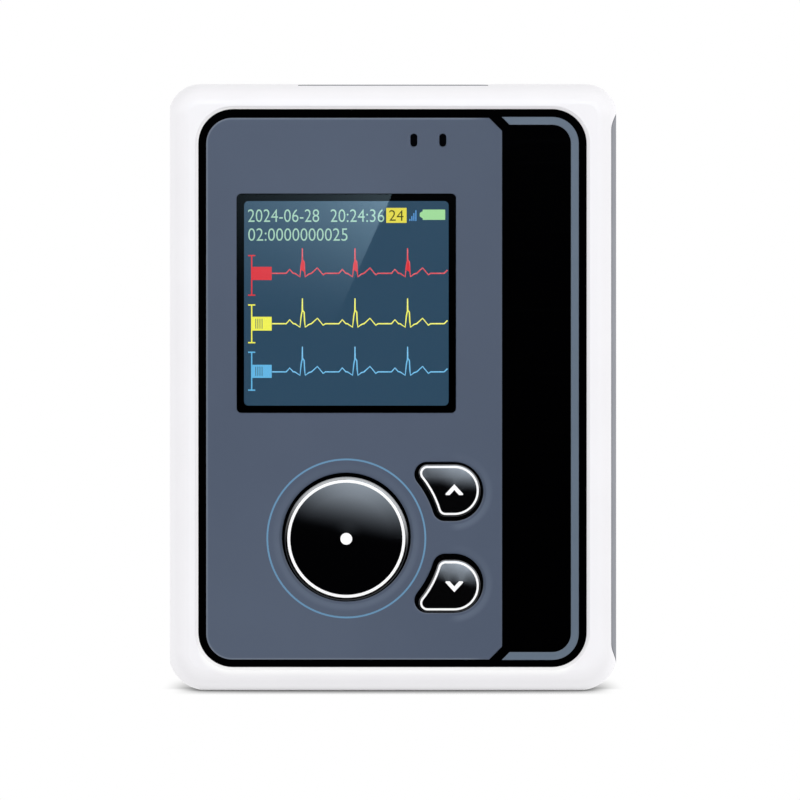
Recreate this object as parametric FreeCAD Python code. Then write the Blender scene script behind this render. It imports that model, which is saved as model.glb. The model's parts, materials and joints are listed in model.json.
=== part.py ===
import FreeCAD, Part
import math
import os

V = FreeCAD.Vector

# Frame: +Z up, the face looks along -Y, +X is to the right of someone facing it.
# The origin is the middle of the bottom of the whole recorder. Millimetres.

# ---- case ----
CASE_WIDTH = 60.5
CASE_HEIGHT = 82.25
CASE_DEPTH = 18.0
BUTTON_PROUD = 0.5          # the centre button's dome in front of the rim
CORNER_RADIUS = 4.36
FOOT_RADIUS = 5.2           # the two lower corners are rounder
SIDE_FLAT = 0.23            # shaved off each side of the rounded block
EDGE_ROUND = 2.8
WALL = 1.8
FRONT_WALL = 1.3
SEAM = 0.25                 # shadow line where the two shells meet
LIP_DEPTH = 0.85
LIP_OUTSET = 1.1            # outer face of the locating lip, in from the side
FIT = 0.1                   # loose fit between mouldings
SNUG = 0.05                 # close fit round inlays, slots and the well
PAST = 1.0                  # how far a cut runs past what it cuts

Y_TIP = -(CASE_DEPTH + BUTTON_PROUD) / 2
Y_RIM = Y_TIP + BUTTON_PROUD
Y_BACK = Y_RIM + CASE_DEPTH
Y_PART = 0.0

# ---- face ----
PLATE_WIDTH = 52.56
PLATE_HEIGHT = 75.54
PLATE_X = -0.075
PLATE_Z = 40.99
PLATE_RADIUS = 4.65
PLATE_THICK = 1.0
PLATE_SUNK = 0.4            # plate front behind the rim
PLATE_PLAY = 0.04
PLATE_BEVEL = 0.1
LIP_SLOPE = 0.42            # sloped band between rim and plate
PANEL_LEFT, PANEL_RIGHT = -25.31, 14.77
PANEL_BOTTOM, PANEL_TOP = 4.215, 77.6
PANEL_RADIUS = 3.5
PANEL_CUT = 1.76            # 45 degree corners at the right
PANEL_THICK = 0.48
PANEL_PROUD = 0.08
PANEL_BEVEL = 0.08
BED_PLAY = 0.02
HOLE_SLOPE = 0.12           # soft dish round each button hole in the panel
HOLE_DISH = 0.05
STRIPE_RIGHT = 25.16
STRIPE_BOTTOM, STRIPE_TOP = 4.16, 77.73
STRIPE_WIDTH = 1.06
STRIPE_RADIUS = 3.6
STRIPE_START = 14.72

Y_PLATE = Y_RIM + PLATE_SUNK
Y_FLOOR = Y_PLATE + PLATE_THICK
Y_INNER = Y_FLOOR + FRONT_WALL
Y_PANEL = Y_PLATE - PANEL_PROUD
Y_REAR_INNER = Y_BACK - WALL

# ---- display ----
DISPLAY_X = -6.33
DISPLAY_Z = 52.48
LENS_SIZE = 29.7
LENS_RADIUS = 0.65
ACTIVE_SIZE = 27.72
MASK_THICK = 0.1
MODULE_WIDTH, MODULE_HEIGHT = 31.5, 33.7
MODULE_Z = 51.45
GASKET_THICK = 0.3
GLASS_THICK = 0.9
BACKLIGHT_THICK = 1.1
MODULE_RADIUS = 0.6
MODULE_PLAY = 0.2
FRAME_EDGE = 1.2            # rim of the backlight's tray
FRAME_DISH = 0.25
FLEX_THICK = 0.15
FLEX_WIDTH = 12.0
FLEX_DROP, FLEX_UNDER, FLEX_TAIL = 1.0, 6.0, 4.0
FLEX_SOCKET_EDGE, FLEX_SOCKET_LONG, FLEX_SOCKET_HIGH = 1.0, 3.0, 1.1
LATCH_INSET, LATCH_LONG = 0.6, 1.2
PAD_INSET, PAD_WIDE, PAD_STEP = 2.0, 4.0, 11.0

Y_GLASS = Y_FLOOR + GASKET_THICK
Y_BACKLIGHT = Y_GLASS + GLASS_THICK
Y_MODULE_BACK = Y_BACKLIGHT + BACKLIGHT_THICK

# ---- buttons ----
BUTTON_Z = 20.58
CAP_RADIUS = 8.4
HOLE_GAP = 0.33
# where each hole in the face sits from its button's middle: centre, up, down
HOLE_SHIFTS = ((0, 0.22), (-0.08, -0.15), (-0.08, 0.34))
DOME_EDGE = 8.01
DOME_DROP = 0.4
RING_INNER, RING_OUTER = 7.6, 7.99
DOT_RADIUS = 0.8
RING_DEPTH, DOT_DEPTH = 0.13, 0.2
FLANGE_HIGH = 0.8
CAP_WALL = 1.2
CAP_HOLLOW = 0.35           # hollow under the cap, above its flange
PLUNGER_RADIUS, KEY_PLUNGER_RADIUS = 2.0, 1.3
BORE_PLAY = 0.3
FLANGE = 0.97               # step under the plate that keeps each button in
BUTTON_TRAVEL = 0.35
ACCENT_RADIUS, ACCENT_WIDTH, ACCENT_DEPTH = 10.71, 0.24, 0.2
ACCENT_Z = 20.62
KEY_X, KEY_Z = 8.3, 27.12   # centre of the up key's round end
KEYS_Z = 20.66              # height about which the down key mirrors the up key
KEY_RADIUS = 3.18
KEY_INNER_ARC = 13.22       # its hollow side, about the centre button at that height
KEY_CORNER = 0.85
KEY_CAP_GROW, KEY_HOLE_GROW, KEY_FLANGE_GROW, KEY_BORE_GROW = 0.38, 0.84, 1.4, 1.7
KEY_RIM_HALF, KEY_RIM_DEPTH = 0.14, 0.3
KEY_MARK_DEPTH = 0.2
KEY_CROWN, KEY_CROWN_X, KEY_CROWN_Z = 38.0, 7.75, 27.25
KEY_PROUD = 0.35            # crest of each key in front of the panel
KEY_EDGE = 0.2
KEY_STEM_X = 8.0
CHEVRON = [(0, 0.81), (1.216, -0.52), (1.12, -0.664), (0.638, -0.664), (0, 0.034),
           (-0.638, -0.664), (-1.12, -0.664), (-1.216, -0.52)]
CHEVRON_Z = 27.16
LIGHT_X = (2.82, 6.74)
LIGHT_Z = 74.58
LIGHT_WIDTH, LIGHT_HEIGHT = 0.86, 1.7

# ---- boards ----
BOARD_THICK = 1.0
Y_BOARD = -2.6
BOARD_LEFT, BOARD_RIGHT = -27.5, 16.3
BOARD_BOTTOM, BOARD_TOP = 3.4, 75.2
BOARD_RADIUS, BOARD_PLAY = 1.5, 0.2
SWITCH_SIZE, SWITCH_HIGH, SWITCH_RADIUS = 4.5, 1.3, 0.5
STEM_RADIUS, STEM_LENGTH = 1.0, 1.1
Y_PLUNGER = -4.6
Y_LEAD_BOARD = 3.95
SPACER_RADIUS = 1.3
SPACERS = [(-25.4, 24.0), (-25.4, 58.0), (14.0, 36.0), (14.0, 71.0)]
REAR_PADS = [(-18.0, 45.0), (11.0, 45.0)]
LED_WIDE, LED_LONG, LED_HIGH = 1.0, 1.1, 0.7
# components on the back of the main board: x, z, width, height, thickness
PROCESSOR = (-6.0, 45.0, 7.0, 7.0, 0.9)
MEMORY = (-6.0, 58.0, 8.0, 6.0, 0.9)
RADIO = (-14.0, 12.0, 12.0, 10.0, 1.6)
PASSIVE_ROWS = [(9, (-22.0, 31.0), (2.4, 0), (1.0, 1.8)), (7, (9.5, 40.0), (0, 2.6), (1.8, 1.0))]
PASSIVE_HIGH = 0.6
LEAD_LEFT, LEAD_RIGHT, LEAD_BOTTOM, LEAD_TOP = -21.0, 14.0, 42.0, 75.0
AMPLIFIERS = [(-13.0, 59.5, 5.0, 5.0, 0.9), (-3.5, 59.5, 5.0, 5.0, 0.9), (6.0, 59.5, 5.0, 5.0, 0.9)]
LINK_X, LINK_Z, LINK_WIDE, LINK_LONG, LINK_BASE = -18.0, 55.0, 4.0, 16.0, 3.0
LINK_STEP = 0.7

# ---- cable socket ----
WELL_WIDTH, WELL_DEEP = 25.8, 9.0
WELL_WALL = 0.8
WELL_DROP = 6.0
WELL_Y = 1.6
WELL_RADIUS = 1.2
WELL_ROOM = 9.0             # depth cut in the shells for the well and what hangs under it
MOUTH_RELIEF = 0.25
SOCKET_WIDTH, SOCKET_THICK = 18.4, 4.6
SOCKET_WALL, SOCKET_TAPER = 0.4, 1.2
SOCKET_BOTTOM = CASE_HEIGHT - 14.5
SOCKET_RISE = 0.6
SOCKET_BASE = 2.4
TONGUE_HALF, TONGUE_EDGE = 0.6, 0.6
CONTACTS_A_ROW = 8
CONTACT_PITCH, CONTACT_WIDE, CONTACT_THICK, CONTACT_SHORT = 1.6, 0.6, 0.15, 0.5

# ---- battery ----
CELL_RADIUS, CELL_LENGTH = 5.25, 44.5
CELL_X = 22.95
CELL_BOTTOM = 17.5
NUB_RADIUS, NUB_HIGH = 1.9, 0.7
BAY_RADIUS = 5.4
TRAY_LEFT, TRAY_RIGHT = 16.9, 27.2
TRAY_BACK = 6.35
TRAY_END = 1.2
TRAY_RIBS_Z = (22.0, 38.0, 54.0)
TRAY_RIB_HALF = 0.6
CELL_EDGE = 0.5
LEAF = 0.4
LEAF_SIZE = 7.4
SPRING_WIRE = 0.3
WIRE_FLATS = 8
SPRING_RADIUS, SPRING_TAPER, SPRING_TURNS, SPRING_HIGH = 3.2, 1.2, 3, 3.5
BAY_BOTTOM = CELL_BOTTOM - SPRING_HIGH
BAY_TOP = CELL_BOTTOM + CELL_LENGTH + LEAF

# ---- battery door ----
DOOR_BOTTOM, DOOR_TOP = 3.4, 79.0
DOOR_FRONT = Y_RIM + 0.73
DOOR_CORNER = 3.0
DOOR_INNER = 28.65
BARREL_RADIUS = 1.2
PIN_RADIUS = 0.5
PIN_X = CASE_WIDTH / 2 - BARREL_RADIUS
PIN_Y = 6.5
LUG_LENGTH = 4.0
LUGS_Z = (10.0, 41.0, 72.0)
BARREL_GAP = 0.15
TONGUES_Z = ((9.6, 12.2), (66.0, 69.0))
TONGUE_REACH, TONGUE_FRONT, TONGUE_BACK = 1.75, -5.7, -4.7
DOOR_RIBS_Z = (26.0, 54.0)
DOOR_RIB_HIGH, DOOR_RIB_HALF, DOOR_RIB_SPAN = 0.3, 0.5, (-4.6, 4.4)
SCOOP_RADIUS, SCOOP_DEPTH, SCOOP_Y = 9.0, 0.5, -4.0
PIN_SEAT = 0.6              # how far the pin enters the wall at each end
PIN_PLAY = 0.05

# ---- fasteners ----
SCREWS = [(sx * 24.5, z) for sx in (-1, 1) for z in (6.5, 75.5)]
BOSS_RADIUS = 2.6
SCREW_RADIUS = 1.0
HEAD_RADIUS, HEAD_HIGH = 1.9, 1.4
WELL_CLEAR = 0.2
Y_HEAD = 7.0
HEAD_EDGE, SLOT_HALF, SLOT_LONG, SLOT_DEPTH = 0.4, 0.22, 1.1, 0.7
TIP_SHORT = 0.3
INSERT_RADIUS, INSERT_LENGTH = 1.6, 4.5


# ---- small builders ----

def block(x0, x1, y0, y1, z0, z1):
    return Part.makeBox(x1 - x0, y1 - y0, z1 - z0, V(x0, y0, z0))


def rod(x, z, radius, y0, y1):
    """A cylinder along Y."""
    return Part.makeCylinder(radius, y1 - y0, V(x, y0, z), V(0, 1, 0))


def post(x, y, radius, z0, z1):
    """A cylinder along Z."""
    return Part.makeCylinder(radius, z1 - z0, V(x, y, z0), V(0, 0, 1))


def rounded_wire(x0, x1, z0, z1, radius, y, foot=None):
    """A rectangle with round corners, in the plane of the face; foot is the lower two's radius."""
    low = foot or radius
    corners = [(x1 - radius, z1 - radius, radius, 0), (x0 + radius, z1 - radius, radius, 90),
               (x0 + low, z0 + low, low, 180), (x1 - low, z0 + low, low, 270)]
    arcs = []
    for x, z, bend, start in corners:
        points = []
        for turn in (0, 45, 90):
            angle = math.radians(start + turn)
            points.append(V(x + bend * math.cos(angle), y, z + bend * math.sin(angle)))
        arcs.append(Part.Arc(*points).toShape())
    edges = []
    for arc, following in zip(arcs, arcs[1:] + arcs[:1]):
        edges.append(arc)
        edges.append(Part.makeLine(arc.Vertexes[-1].Point, following.Vertexes[0].Point))
    return Part.Wire(edges)


def slab(wire, depth):
    """The outline pushed back by depth."""
    return Part.Face(wire).extrude(V(0, depth, 0))


def rounded_slab(x0, x1, z0, z1, radius, y0, y1, foot=None):
    return slab(rounded_wire(x0, x1, z0, z1, radius, y0, foot), y1 - y0)


def square_slab(x, z, size, radius, y0, y1):
    half = size / 2
    return rounded_slab(x - half, x + half, z - half, z + half, radius, y0, y1)


def polygon_slab(points, y0, y1):
    corners = [V(x, y0, z) for x, z in points]
    return slab(Part.makePolygon(corners + corners[:1]), y1 - y0)


def case_outline(inset, y0, y1):
    """The case's outline, moved in by inset all round."""
    half = CASE_WIDTH / 2 + SIDE_FLAT - inset
    body = rounded_slab(-half, half, inset, CASE_HEIGHT - inset, CORNER_RADIUS - inset, y0, y1,
                        FOOT_RADIUS - inset)
    flat = CASE_WIDTH / 2 - inset
    return body.common(block(-flat, flat, y0, y1, 0, CASE_HEIGHT))


def edges_at(shape, y):
    """The edges that lie in the plane at this depth."""
    return [e for e in shape.Edges if abs(e.BoundBox.YMin - y) < 1e-4 and abs(e.BoundBox.YMax - y) < 1e-4]


def end_wire(shape, y):
    """The outline of the flat end that a prism has at this depth."""
    for face in shape.Faces:
        if abs(face.BoundBox.YMin - y) < 1e-4 and abs(face.BoundBox.YMax - y) < 1e-4:
            return face.OuterWire


def mirrored(shape):
    """The same piece for the down key."""
    return shape.mirror(V(0, 0, KEYS_Z), V(0, 0, 1))


def all_fused(first, others):
    return first.multiFuse(others).removeSplitter()


# ---- the case block and what is cut through it ----

def case_block():
    half = CASE_WIDTH / 2 + SIDE_FLAT
    body = rounded_slab(-half, half, 0, CASE_HEIGHT, CORNER_RADIUS, Y_RIM, Y_BACK, FOOT_RADIUS)
    body = body.makeFillet(EDGE_ROUND, edges_at(body, Y_RIM) + edges_at(body, Y_BACK))
    flat = CASE_WIDTH / 2
    return body.common(block(-flat, flat, Y_RIM, Y_BACK, 0, CASE_HEIGHT))


def plate_recess():
    """The bed of the face plate, with the sloped band that leads down to it."""
    x0, x1 = PLATE_X - PLATE_WIDTH / 2, PLATE_X + PLATE_WIDTH / 2
    z0, z1 = PLATE_Z - PLATE_HEIGHT / 2, PLATE_Z + PLATE_HEIGHT / 2
    play = PLATE_PLAY
    bed = rounded_slab(x0 - play, x1 + play, z0 - play, z1 + play, PLATE_RADIUS + play, Y_PLATE, Y_FLOOR)
    wide = play + LIP_SLOPE
    mouth = rounded_wire(x0 - wide, x1 + wide, z0 - wide, z1 + wide, PLATE_RADIUS + wide, Y_RIM)
    inner = rounded_wire(x0 - play, x1 + play, z0 - play, z1 + play, PLATE_RADIUS + play, Y_PLATE)
    return bed.fuse(Part.makeLoft([mouth, inner], True, True))


def key_prism(grow, y0, y1):
    """The up key's outline: a round end, two flat sides and a hollow side towards the centre button."""
    radius = KEY_RADIUS + grow
    reach = KEY_INNER_ARC - grow
    top, bottom = KEY_Z + radius, KEY_Z - radius

    def on_arc(z):
        return V(DISPLAY_X + math.sqrt(reach ** 2 - (z - KEYS_Z) ** 2), y0, z)

    upper, lower = on_arc(top), on_arc(bottom)
    edges = [
        Part.makeLine(upper, V(KEY_X, y0, top)),
        Part.Arc(V(KEY_X, y0, top), V(KEY_X + radius, y0, KEY_Z), V(KEY_X, y0, bottom)).toShape(),
        Part.makeLine(V(KEY_X, y0, bottom), lower),
        Part.Arc(lower, on_arc(KEY_Z), upper).toShape(),
    ]
    prism = slab(Part.Wire(edges), y1 - y0)
    corners = []
    for edge in prism.Edges:
        box = edge.BoundBox
        upright = box.YLength > (y1 - y0) * 0.99 and box.XLength < 1e-4
        if upright and box.XMax < KEY_X - 0.5:
            corners.append(edge)
    return prism.makeFillet(KEY_CORNER + grow, corners)


def key_holes(grow, centre_gap, y0, y1):
    """The three button holes, through whatever lies between y0 and y1."""
    up = key_prism(grow, y0, y1)
    return [rod(DISPLAY_X, BUTTON_Z, CAP_RADIUS + centre_gap, y0, y1), up, mirrored(up)]


def shifted(shapes):
    """The three shapes moved from their buttons' middles to the holes in the face."""
    return [shape.translated(V(dx, 0, dz)) for shape, (dx, dz) in zip(shapes, HOLE_SHIFTS)]


def light_slots(grow, y0, y1):
    slots = []
    for x in LIGHT_X:
        wide, high = LIGHT_WIDTH / 2 + grow, LIGHT_HEIGHT / 2 + grow
        almost_round = wide * 0.98
        slots.append(rounded_slab(x - wide, x + wide, LIGHT_Z - high, LIGHT_Z + high, almost_round, y0, y1))
    return slots


def door_outline(gap, x0):
    """The door's outline on the side of the case, pushed out through the wall."""
    behind_hinge = Y_BACK + PAST
    turned = rounded_slab(DOOR_FRONT - gap, behind_hinge, DOOR_BOTTOM - gap, DOOR_TOP + gap,
                          DOOR_CORNER, -CASE_WIDTH, -x0)
    turned.rotate(V(0, 0, 0), V(0, 0, 1), 90)
    return turned


def door_opening():
    """The way into the battery bay: a shallow bed in the rim, then right through the side wall."""
    y1 = PIN_Y + BARREL_RADIUS + BARREL_GAP
    bed = door_outline(0, DOOR_INNER - BARREL_GAP).common(block(0, CASE_WIDTH, Y_RIM, y1, 0, CASE_HEIGHT))
    way_in = block(PIN_X - BARREL_RADIUS - BARREL_GAP, CASE_WIDTH, Y_INNER, y1, DOOR_BOTTOM, DOOR_TOP)
    return bed.fuse(way_in)


def well_block(grow, z0, z1):
    """The socket well's outline seen from above."""
    half_x, half_y = WELL_WIDTH / 2 + grow, WELL_DEEP / 2 + grow
    body = block(-half_x, half_x, WELL_Y - half_y, WELL_Y + half_y, z0, z1)
    upright = [e for e in body.Edges if e.BoundBox.ZLength > (z1 - z0) * 0.99]
    return body.makeFillet(WELL_RADIUS + grow, upright)


def mouth_cuts():
    """The room for the socket well, and the step in the front lip of its mouth."""
    room = well_block(SNUG, CASE_HEIGHT - WELL_ROOM, CASE_HEIGHT + PAST)
    half = WELL_WIDTH / 2
    return [room, block(-half, half, Y_RIM, WELL_Y, CASE_HEIGHT - MOUTH_RELIEF, CASE_HEIGHT + PAST)]


def half_case(case, y0, y1):
    return case.common(block(-CASE_WIDTH, CASE_WIDTH, y0, y1, 0, CASE_HEIGHT))


# ---- shells ----

def front_shell(case):
    shell = half_case(case, Y_RIM, Y_PART)
    cavity = case_outline(WALL, Y_INNER, Y_PART)
    rebate = case_outline(LIP_OUTSET - FIT, Y_PART - LIP_DEPTH - FIT, Y_PART)
    module = module_slab(-MODULE_PLAY, Y_PLATE, Y_INNER)
    bores = key_holes(KEY_BORE_GROW, FLANGE + BORE_PLAY, Y_PLATE, Y_INNER)
    shell = shell.cut([plate_recess(), cavity, rebate, module] + bores + light_slots(SNUG, Y_PLATE, Y_INNER))
    posts = [rod(x, z, BOSS_RADIUS, Y_INNER, Y_PART) for x, z in SCREWS]
    posts += [rod(x, z, SPACER_RADIUS, Y_INNER, Y_BOARD) for x, z in SPACERS]
    shell = shell.fuse(posts)
    inserts = [rod(x, z, INSERT_RADIUS, Y_PART - INSERT_LENGTH, Y_PART) for x, z in SCREWS]
    return shell.cut(inserts + [door_opening()] + mouth_cuts()).removeSplitter()


def hinge_lug(z):
    """A knuckle on the rear shell, with the web that carries it."""
    z0, z1 = z - LUG_LENGTH / 2, z + LUG_LENGTH / 2
    barrel = post(PIN_X, PIN_Y, BARREL_RADIUS, z0, z1)
    web = block(PIN_X - BARREL_RADIUS, PIN_X, PIN_Y, Y_REAR_INNER + BARREL_RADIUS / 2, z0, z1)
    return barrel.fuse(web)


def tray_ribs():
    """Ribs on the rear wall that hold the battery tray against the front shell."""
    return [block(TRAY_LEFT + TRAY_END, TRAY_RIGHT - TRAY_END, TRAY_BACK, Y_REAR_INNER,
                  z - TRAY_RIB_HALF, z + TRAY_RIB_HALF) for z in TRAY_RIBS_Z]


def rear_shell(case):
    shell = half_case(case, Y_PART, Y_BACK)
    seam = case_outline(0, Y_PART, Y_PART + SEAM).cut(case_outline(SEAM, Y_PART, Y_PART + SEAM))
    shell = shell.cut([case_outline(WALL, Y_PART, Y_REAR_INNER), seam])
    lip = case_outline(LIP_OUTSET, Y_PART - LIP_DEPTH, Y_PART)
    lip = lip.cut(case_outline(WALL, Y_PART - LIP_DEPTH, Y_PART))
    posts = [rod(x, z, BOSS_RADIUS, Y_PART, Y_REAR_INNER) for x, z in SCREWS]
    pads = [rod(x, z, SPACER_RADIUS, Y_LEAD_BOARD + BOARD_THICK, Y_REAR_INNER) for x, z in REAR_PADS]
    shell = shell.fuse([lip] + posts + pads + tray_ribs())
    cuts = [door_opening()] + mouth_cuts()
    for x, z in SCREWS:
        cuts.append(rod(x, z, SCREW_RADIUS, Y_PART, Y_BACK))
        cuts.append(rod(x, z, HEAD_RADIUS + WELL_CLEAR, Y_HEAD, Y_BACK))
    shell = shell.cut(cuts).fuse([hinge_lug(z) for z in LUGS_Z])
    return shell.cut(hinge_pin()).removeSplitter()


# ---- face ----

def face_plate():
    x0, x1 = PLATE_X - PLATE_WIDTH / 2, PLATE_X + PLATE_WIDTH / 2
    z0, z1 = PLATE_Z - PLATE_HEIGHT / 2, PLATE_Z + PLATE_HEIGHT / 2
    plate = rounded_slab(x0, x1, z0, z1, PLATE_RADIUS, Y_PLATE, Y_FLOOR)
    plate = plate.makeChamfer(PLATE_BEVEL, edges_at(plate, Y_PLATE))
    beds = [slate_outline(BED_PLAY), stripe_outline(BED_PLAY)]
    return plate.cut(beds + face_holes(Y_PLATE - PAST, Y_FLOOR + PAST))


def face_holes(y0, y1):
    """What goes right through the panel and the plate: buttons, light slots and lens."""
    lens = square_slab(DISPLAY_X, DISPLAY_Z, LENS_SIZE + SNUG, LENS_RADIUS + SNUG / 2, y0, y1)
    buttons = shifted(key_holes(KEY_HOLE_GROW, HOLE_GAP, y0, y1))
    return buttons + light_slots(SNUG, y0, y1) + [lens]


def slate_outline(grow):
    """The slate panel's outline: round corners at the left, cut corners at the right."""
    x0, x1 = PANEL_LEFT - grow, PANEL_RIGHT + grow
    z0, z1 = PANEL_BOTTOM - grow, PANEL_TOP + grow
    radius, cut = PANEL_RADIUS + grow, PANEL_CUT
    half = radius * math.sqrt(0.5)
    y = Y_PANEL

    def corner(start, middle, end):
        return Part.Arc(V(start[0], y, start[1]), V(middle[0], y, middle[1]), V(end[0], y, end[1])).toShape()

    upper = corner((x0 + radius, z1), (x0 + radius - half, z1 - radius + half), (x0, z1 - radius))
    lower = corner((x0, z0 + radius), (x0 + radius - half, z0 + radius - half), (x0 + radius, z0))
    right = [V(x0 + radius, y, z0), V(x1 - cut, y, z0), V(x1, y, z0 + cut),
             V(x1, y, z1 - cut), V(x1 - cut, y, z1), V(x0 + radius, y, z1)]
    lines = [Part.makeLine(a, b) for a, b in zip(right, right[1:])]
    side = Part.makeLine(V(x0, y, z1 - radius), V(x0, y, z0 + radius))
    return slab(Part.Wire([upper, side, lower] + lines), PANEL_THICK)


def stripe_outline(grow):
    """A bracket round the right-hand strip, with its two ends cut at 45 degrees."""
    left = DISPLAY_X            # under the panel, cut away below
    width = STRIPE_WIDTH + grow
    outer = rounded_slab(left, STRIPE_RIGHT + grow, STRIPE_BOTTOM - grow, STRIPE_TOP + grow,
                         STRIPE_RADIUS + grow, Y_PANEL, Y_PANEL + PANEL_THICK)
    inner = rounded_slab(left + width, STRIPE_RIGHT - width, STRIPE_BOTTOM + width, STRIPE_TOP - width,
                         STRIPE_RADIUS - width, Y_PANEL, Y_PANEL + PANEL_THICK)
    start = STRIPE_START - grow
    run = STRIPE_WIDTH + PAST
    keep = [(start - PAST, STRIPE_TOP + PAST), (start + run, STRIPE_TOP - run),
            (start + run, STRIPE_BOTTOM + run), (start - PAST, STRIPE_BOTTOM - PAST),
            (CASE_WIDTH / 2, STRIPE_BOTTOM - PAST), (CASE_WIDTH / 2, STRIPE_TOP + PAST)]
    return outer.cut(inner).common(polygon_slab(keep, Y_PANEL, Y_PANEL + PANEL_THICK))


def button_dishes():
    """The soft slope that leads down into each button hole."""
    low = Y_PANEL + HOLE_DISH
    inner, outer = CAP_RADIUS + HOLE_GAP, CAP_RADIUS + HOLE_GAP + HOLE_SLOPE
    centre = Part.makeCone(outer, inner, HOLE_DISH, V(DISPLAY_X, Y_PANEL, BUTTON_Z), V(0, 1, 0))
    wide = key_prism(KEY_HOLE_GROW + HOLE_SLOPE, Y_PANEL, low)
    narrow = key_prism(KEY_HOLE_GROW, low, low + PAST)
    key = Part.makeLoft([end_wire(wide, Y_PANEL), end_wire(narrow, low)], True, True)
    return shifted([centre, key, mirrored(key)])


def slate_panel():
    panel = slate_outline(0)
    panel = panel.makeChamfer(PANEL_BEVEL, edges_at(panel, Y_PANEL))
    holes = face_holes(Y_PANEL - PAST, Y_FLOOR)
    return panel.cut(holes + button_dishes() + [accent_ring()])


def slate_stripe():
    stripe = stripe_outline(0)
    return stripe.makeChamfer(PANEL_BEVEL, edges_at(stripe, Y_PANEL))


def accent_ring():
    y1 = Y_PANEL + ACCENT_DEPTH
    outer = rod(DISPLAY_X, ACCENT_Z, ACCENT_RADIUS + ACCENT_WIDTH / 2, Y_PANEL, y1)
    return outer.cut(rod(DISPLAY_X, ACCENT_Z, ACCENT_RADIUS - ACCENT_WIDTH / 2, Y_PANEL, y1))


def light_pipes():
    return Part.makeCompound(light_slots(0, Y_PANEL, Y_BOARD - LED_HIGH))


# ---- display ----

def display_lens():
    lens = square_slab(DISPLAY_X, DISPLAY_Z, LENS_SIZE, LENS_RADIUS, Y_PLATE, Y_FLOOR - MASK_THICK)
    return lens.makeChamfer(PANEL_PROUD, edges_at(lens, Y_PLATE))


def display_mask():
    y0 = Y_FLOOR - MASK_THICK
    mask = square_slab(DISPLAY_X, DISPLAY_Z, LENS_SIZE, LENS_RADIUS, y0, Y_FLOOR)
    return mask.cut(square_slab(DISPLAY_X, DISPLAY_Z, ACTIVE_SIZE, MODULE_RADIUS, y0, Y_FLOOR))


def module_slab(inset, y0, y1):
    wide, high = MODULE_WIDTH / 2 - inset, MODULE_HEIGHT / 2 - inset
    x, z = DISPLAY_X, MODULE_Z
    return rounded_slab(x - wide, x + wide, z - high, z + high, MODULE_RADIUS, y0, y1)


def display_gasket():
    window = square_slab(DISPLAY_X, DISPLAY_Z, ACTIVE_SIZE + MODULE_RADIUS, MODULE_RADIUS, Y_FLOOR, Y_GLASS)
    return module_slab(0, Y_FLOOR, Y_GLASS).cut(window)


def display_backlight():
    """A tray that the glass sits on, with a rim a little wider than the glass."""
    frame = module_slab(0, Y_BACKLIGHT, Y_MODULE_BACK)
    return frame.cut(module_slab(FRAME_EDGE, Y_MODULE_BACK - FRAME_DISH, Y_MODULE_BACK))


def display_flex():
    """A ribbon that turns back under the display to its socket on the main board."""
    x0, x1 = DISPLAY_X - FLEX_WIDTH / 2, DISPLAY_X + FLEX_WIDTH / 2
    bend_z = MODULE_Z - MODULE_HEIGHT / 2 - FLEX_DROP
    outer = (Y_BOARD - Y_MODULE_BACK) / 2
    middle = (Y_BOARD + Y_MODULE_BACK) / 2
    ring = Part.makeCylinder(outer, FLEX_WIDTH, V(x0, middle, bend_z), V(1, 0, 0))
    ring = ring.cut(Part.makeCylinder(outer - FLEX_THICK, FLEX_WIDTH, V(x0, middle, bend_z), V(1, 0, 0)))
    bend = ring.common(block(x0, x1, Y_MODULE_BACK, Y_BOARD, bend_z - outer, bend_z))
    front = block(x0, x1, Y_MODULE_BACK, Y_MODULE_BACK + FLEX_THICK, bend_z, bend_z + FLEX_UNDER)
    back = block(x0, x1, Y_BOARD - FLEX_THICK, Y_BOARD, bend_z, bend_z + FLEX_TAIL)
    return all_fused(bend, [front, back])


def flex_socket():
    z0 = MODULE_Z - MODULE_HEIGHT / 2 - FLEX_DROP + FLEX_TAIL
    wide = FLEX_WIDTH / 2 + FLEX_SOCKET_EDGE
    y0 = Y_BOARD - FLEX_SOCKET_HIGH
    body = block(DISPLAY_X - wide, DISPLAY_X + wide, y0, Y_BOARD, z0, z0 + FLEX_SOCKET_LONG)
    narrow = wide - LATCH_INSET
    latch = block(DISPLAY_X - narrow, DISPLAY_X + narrow, y0 - FLEX_THICK, y0,
                  z0 + FLEX_THICK, z0 + LATCH_LONG)
    return all_fused(body, [latch])


def display_pads():
    wide = MODULE_WIDTH / 2 - PAD_INSET
    y0 = Y_MODULE_BACK - FRAME_DISH
    pads = [block(DISPLAY_X - wide, DISPLAY_X + wide, y0, Y_BOARD, z, z + PAD_WIDE)
            for z in (MODULE_Z, MODULE_Z + PAD_STEP)]
    return Part.makeCompound(pads)


# ---- buttons ----

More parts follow.
